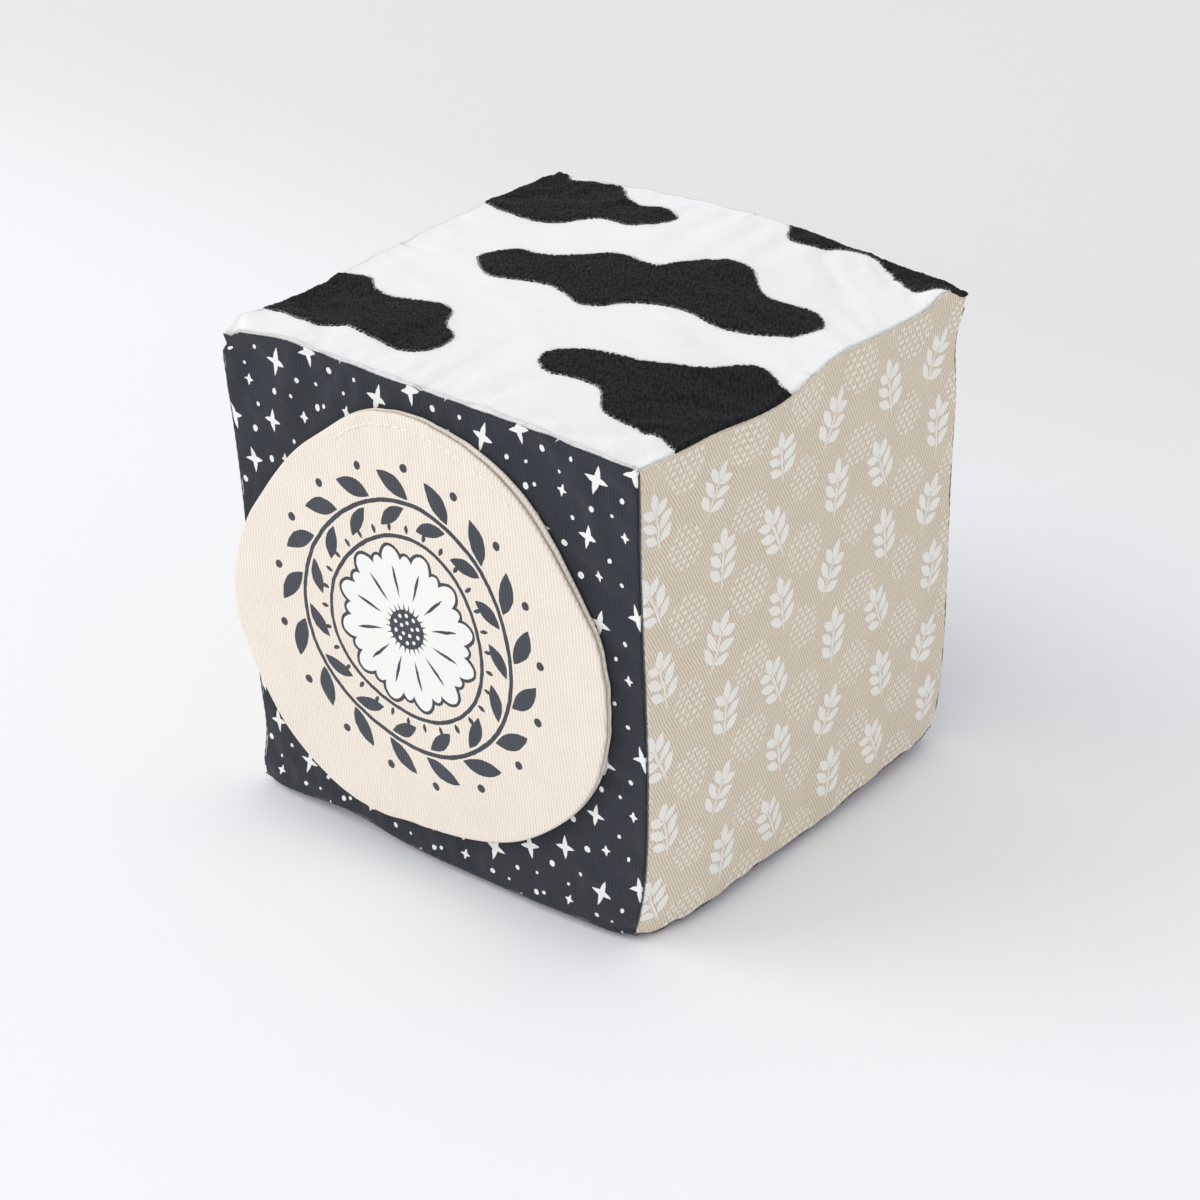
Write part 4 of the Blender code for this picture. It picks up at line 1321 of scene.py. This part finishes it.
class BLOCK_OT_flap(bpy.types.Operator):
    """Add the flap's face, its lining and its backing, each as one cloth"""

    bl_idname = "block.flap"
    bl_label = "Flap"

    def execute(self, context):
        looks = context.scene.block_looks
        printed = twill_material(
            "printed_flap_cotton_twill", looks.flap_twill, 0.95, radians(-7), 0.13,
            daisy_print(looks.dark_ink, linear("#F3F2EF")),
        )  # fmt: skip
        plain = twill_material("plain_flap_cotton_twill", looks.flap_twill, 0.95, radians(7), 0.13)
        steps, turns = 9, np.arange(240) / 240
        uneven = ripple(turns * 2 * pi * FLAP_RADIUS, 77, 14 * MM, 40 * MM) * 0.25 * MM
        # The backing was cut a little larger, and shows past the face along the top right
        shown = np.exp(-(((turns - 0.145) / 0.06) ** 2)) * 0.9 * MM
        for name, outer, inward, more, material, slot in (
            ("flap_face", FLAP_FRONT, 1, uneven * 0.3, printed, "flap_twill"),
            ("flap_backing", FLAP_BACK, -1, uneven * 0.3 + shown, plain, "flap_twill"),
        ):
            edge = flap_reach(turns) + more
            folds = np.linspace(0, pi, steps)
            rings = [(edge - HEM_RADIUS) * share for share in np.linspace(0.02, 1, 58)]
            levels = [outer] * len(rings)
            rings += [edge - HEM_RADIUS * (1 - sin(fold)) for fold in folds[1:]]
            levels += [outer - inward * HEM_RADIUS * (1 - cos(fold)) for fold in folds[1:]]
            rings.append(edge - HEM_RADIUS - FLAP_ALLOWANCE)
            levels.append(outer - inward * 2 * HEM_RADIUS)
            flap = self.cloth(name, turns, rings, levels, inward)
            flap = bent(thickened(flap, FLAP_CLOTH), material, slot, name, name + "_sewn_edge")
        inset = HEM_RADIUS + FLAP_ALLOWANCE + FLAP_GAP
        edge = flap_reach(turns) - inset
        level = FLAP_BACK + FLAP_CLOTH + FLAP_GAP
        thickness = FLAP_THICKNESS - 2 * (FLAP_CLOTH + FLAP_GAP)
        rings = [edge * share for share in np.linspace(0.02, 1, 50)]
        lining = self.cloth("flap_lining", turns, rings, [level + thickness] * len(rings), 1)
        lining = thickened(lining, thickness)
        bent(lining, wadding_material(), "flap_lining", "flap_lining", "flap_lining_sewn_edge")
        return {"FINISHED"}

    def cloth(self, name, turns, rings, levels, inward):
        """A cloth through rings round the flap, closed at its middle."""
        level = np.concatenate([[levels[0]], np.repeat(levels, len(turns))])
        uv = np.concatenate([flap_flat([0], np.zeros(1)), *(flap_flat(turns, ring) for ring in rings)])
        rows = 1 + np.arange(len(rings) * len(turns)).reshape(len(rings), -1)
        faces = [(0, *pair) for pair in zip(rows[0], np.roll(rows[0], -1))]
        faces += [quad[::-1] for quad in strip(rows)]
        if inward < 0:
            faces = [face[::-1] for face in faces]
        dent = np.zeros(len(uv))
        if name == "flap_face":
            away = np.linalg.norm(uv - np.array((FLAP_ASIDE, FLAP_ABOVE)), axis=1)
            angle = np.arctan2(uv[:, 1] - FLAP_ABOVE, uv[:, 0] - FLAP_ASIDE) / (2 * pi)
            off = (flap_reach(angle) - TOPSTITCH_INSET - away) / (0.9 * MM)
            sewn = np.clip((uv[:, 1] - HINGE_HEIGHT) / (3 * MM) + 1, 0, 1)
            dent = 0.11 * MM * np.exp(-off * off) * sewn * (level > levels[0] - MM / 10)
        return mesh_object(name, flap_places(uv, level - dent), faces, uv)


class BLOCK_OT_stitching(bpy.types.Operator):
    """Add every thread: seams, the closing, the flap's edge and its topstitch"""

    bl_idname = "block.stitching"
    bl_label = "Stitching"

    def execute(self, context):
        grey = thread_material("grey_polyester_thread", linear("#4A4B52"))
        white = thread_material("white_polyester_thread", linear("#EDEDEA"))
        cream = thread_material("cream_polyester_thread", linear("#EBDFCF"))
        side = self.groove(THREAD, TWILL)
        top = self.groove(THREAD, PLUSH) - 0.24 * MM
        clear = HALF - 2 * (PLUSH + FOLD_ROOM)
        ends = {
            "seam_thread_front_left": (-1, -1),
            "seam_thread_front_right": (1, -1),
            "seam_thread_back_right": (1, 1),
            "seam_thread_back_left": (-1, 1),
        }
        for name, (right, back) in ends.items():
            line = np.array([[right * side, back * side, z] for z in (-clear, clear)])
            self.thread(name, line, grey, "grey_thread")
        corners = np.array(((1, 1), (-1, 1), (-1, -1), (1, -1), (1, 1)))
        loop = np.column_stack([corners * top, np.full(5, top)])
        self.thread("seam_thread_top", loop, white, "white_thread")
        stop = CLOSING_LENGTH / 2 + THREAD_GAP
        path = np.array([(-stop, side), *(corners[1:] * side), (stop, side)])
        path = np.column_stack([path, np.full(len(path), -side)])
        self.thread("seam_thread_bottom", path, grey, "grey_thread")
        self.closing(grey)
        self.flap_threads(cream, context.scene.block_looks.stitch_length)
        return {"FINISHED"}

    def groove(self, thread, cloth):
        """How far out a thread lies in the groove between two folds, along either side's own axis."""
        apart = COVER_FOLD + SEAM_GAP / 2
        rise = sqrt((COVER_FOLD + thread + THREAD_GAP) ** 2 - apart**2)
        return face_height(cloth) - COVER_FOLD + (rise - apart) * DIAGONAL

    def thread(self, name, line, material, slot):
        """A seam's thread: it swells at each stitch and thins where it dives."""
        run = run_along(line)
        at = np.linspace(0, run[-1], max(2, round(run[-1] / (0.7 * MM))))
        swell = 0.78 + 0.22 * np.cos(2 * pi * at / bpy.context.scene.block_looks.stitch_length)
        points, faces = tubes([shaped(points_at(at, run, line))], [THREAD * swell])
        dressed(mesh_object(name, points, faces), "block", material, slot, name)

    def closing(self, material):
        """Slanting hand stitches that draw the last gap shut, at the back of the bottom."""
        out = self.groove(CLOSING_THREAD, TWILL)
        pitch, proud, reach, round_off = 3.6 * MM, 0.35 * MM, 0.9 * MM, 0.4 * MM
        paths, radii = [], []
        for start in np.arange(-CLOSING_LENGTH / 2, CLOSING_LENGTH / 2 - pitch / 2, pitch):
            t = np.linspace(0, 1, 9)
            swing = (t - 0.5) * 2
            x = start + pitch * 0.75 * t
            y = out + proud - swing * reach - round_off * swing**2
            z = -out - proud - swing * reach + round_off * swing**2
            path = shaped(np.stack([x, y, z], axis=1))
            path[:, 2] = np.maximum(path[:, 2], CLOSING_THREAD)
            paths.append(path)
            radii.append(CLOSING_THREAD * np.sqrt(np.clip(1.05 - swing**4, 0.15, 1)))
        points, faces = tubes(paths, radii)
        closing = mesh_object("closing_stitch", points, faces)
        dressed(closing, "block", material, "grey_thread", "closing_stitch")

    def flap_threads(self, material, stitch):
        """The thread round the flap's edge, and the stitches that sew its top to the block."""
        middle = FLAP_BACK + FLAP_THICKNESS / 2
        turns = np.linspace(0, 1, 560, endpoint=False)
        inset = HEM_RADIUS - self.hem_rise()
        uv = flap_flat(turns, flap_reach(turns) - inset)
        path = flap_places(np.vstack([uv, uv[:1]]), middle)
        swell = 0.78 + 0.22 * np.cos(2 * pi * np.arange(len(path)) / 4)
        points, faces = tubes([path], [FLAP_THREAD * swell])
        edge = mesh_object("flap_edge_thread", points, faces)
        bent(edge, material, "cream_thread", "flap_edge_thread", "flap_edge_thread_sewn_edge")

        upper = np.linspace(0.02, 0.48, 2400)
        uv = flap_flat(upper, flap_reach(upper) - TOPSTITCH_INSET)
        uv = uv[uv[:, 1] > HINGE_HEIGHT - MM]
        run = run_along(uv)
        paths, radii = [], []
        rng = np.random.default_rng(5)
        start = 0.4 * MM
        while start + stitch < run[-1]:
            long = stitch * rng.uniform(0.76, 0.86)
            t = np.linspace(0, 1, 9)
            flat = points_at(start + long * t, run, uv)
            # Each stitch dives into the cloth at both its ends, and thins there
            dive = (2 * t - 1) ** 4
            high = TOPSTITCH_DIVE * (1 - dive) - TOPSTITCH_DIVE
            paths.append(flap_places(flat, FLAP_FRONT + high))
            radii.append(TOPSTITCH_THREAD * np.sqrt(np.clip(1.02 - dive, 0.1, 1)))
            start += stitch
        points, faces = tubes(paths, radii)
        pale = thread_material("white_topstitch_thread", linear("#FBF8F2"))
        topstitch = mesh_object("flap_topstitch", points, faces)
        dressed(topstitch, "block", pale, "white_thread", "flap_topstitch")

    def hem_rise(self):
        """How far out the edge's thread lies in the groove between the two hems."""
        return sqrt((HEM_RADIUS + FLAP_THREAD + THREAD_GAP) ** 2 - (HEM_RADIUS + SEAM_GAP / 2) ** 2)


class BLOCK_OT_stage(bpy.types.Operator):
    """Add the floor, the backdrop, the lamps and the camera"""

    bl_idname = "block.stage"
    bl_label = "Stage"

    def execute(self, context):
        looks, scene = context.scene.block_looks, context.scene
        scene.view_settings.view_transform = "Standard"
        floor = mesh_object("floor", *self.sweep())
        floor.data.materials.append(floor_material())
        self.camera(scene)
        world = bpy.data.worlds.new("room")
        scene.world = world
        world.use_nodes = True
        light = world.node_tree.nodes["Background"]
        light.inputs["Color"].default_value = (0.985, 0.99, 1.0, 1)
        light.inputs["Strength"].default_value = looks.room_light
        self.lamp("key", (-1.8, -1.45, 1.5), looks.key_light, 2.1, (0.97, 0.985, 1.0))
        self.lamp("front", (0.75, -1.7, 0.75), looks.front_light, 1.2, (1.0, 0.985, 0.93))
        return {"FINISHED"}

    def sweep(self):
        """(points, faces) of a floor that runs back and turns up softly into a wall."""
        wide, front, back, high, radius = 3.0, -2.5, 2.2, 2.5, 0.5
        profile = [(front, 0.0), (back - radius, 0.0)]
        profile += [
            (back - radius + radius * sin(turn), radius - radius * cos(turn))
            for turn in np.linspace(0.15, pi / 2, 12)
        ]
        profile.append((back, high))
        points = np.array([(x, y, z) for y, z in profile for x in (-wide, wide)])
        return points, [(2 * k, 2 * k + 1, 2 * k + 3, 2 * k + 2) for k in range(len(profile) - 1)]

    def camera(self, scene):
        """The photograph's own view, worked out from the block's corners in it."""
        turn, rise, roll = radians(39.24), radians(28.14), radians(-0.46)
        # How far back, to the right and down the camera stands from the block's middle, in its edges
        far, aside, down = 7.186, 0.004, 0.124
        back = Vector((sin(turn) * cos(rise), -cos(turn) * cos(rise), sin(rise)))
        right = Vector((0, 0, 1)).cross(back).normalized()
        up = back.cross(right)
        right, up = right * cos(roll) + up * sin(roll), up * cos(roll) - right * sin(roll)
        centre = Vector(CENTRE) + (back * far + right * aside - up * down) * EDGE
        data = bpy.data.cameras.new("view")
        data.sensor_width, data.lens = 36, 107.5
        data.clip_start, data.clip_end = 0.01, 50
        camera = bpy.data.objects.new("view", data)
        axes = Matrix((right, up, back)).transposed()
        camera.matrix_world = Matrix.Translation(centre) @ axes.to_4x4()
        scene.collection.objects.link(camera)
        scene.camera = camera

    def lamp(self, name, place, power, size, colour):
        """A large square lamp that looks at the block."""
        data = bpy.data.lights.new(name, "AREA")
        data.energy, data.size, data.color = power, size, colour
        lamp = bpy.data.objects.new(name, data)
        lamp.location = place
        lamp.rotation_euler = (Vector(CENTRE) - Vector(place)).to_track_quat("-Z", "Y").to_euler()
        bpy.context.scene.collection.objects.link(lamp)


class BLOCK_PT_panel(bpy.types.Panel):
    """The block's looks and the steps that build it"""

    bl_idname = "BLOCK_PT_panel"
    bl_label = "Soft fabric block"
    bl_space_type = "VIEW_3D"
    bl_region_type = "UI"
    bl_category = "Block"

    def draw(self, context):
        for name in BlockLooks.__annotations__:
            self.layout.prop(context.scene.block_looks, name)
        for operator in OPERATORS:
            self.layout.operator(operator.bl_idname)


OPERATORS = (
    BLOCK_OT_foam,
    BLOCK_OT_cover,
    BLOCK_OT_patches,
    BLOCK_OT_fringe,
    BLOCK_OT_flap,
    BLOCK_OT_stitching,
    BLOCK_OT_stage,
)


def register():
    for kind in (BlockLooks, *OPERATORS, BLOCK_PT_panel):
        bpy.utils.register_class(kind)
    bpy.types.Scene.block_looks = bpy.props.PointerProperty(type=BlockLooks)


def unregister():
    del bpy.types.Scene.block_looks
    for kind in reversed((BlockLooks, *OPERATORS, BLOCK_PT_panel)):
        bpy.utils.unregister_class(kind)


def main():
    register()
    bpy.ops.block.foam()
    bpy.ops.block.cover()
    bpy.ops.block.patches()
    bpy.ops.block.fringe()
    bpy.ops.block.flap()
    bpy.ops.block.stitching()
    bpy.ops.block.stage()


if __name__ == "__main__":
    main()
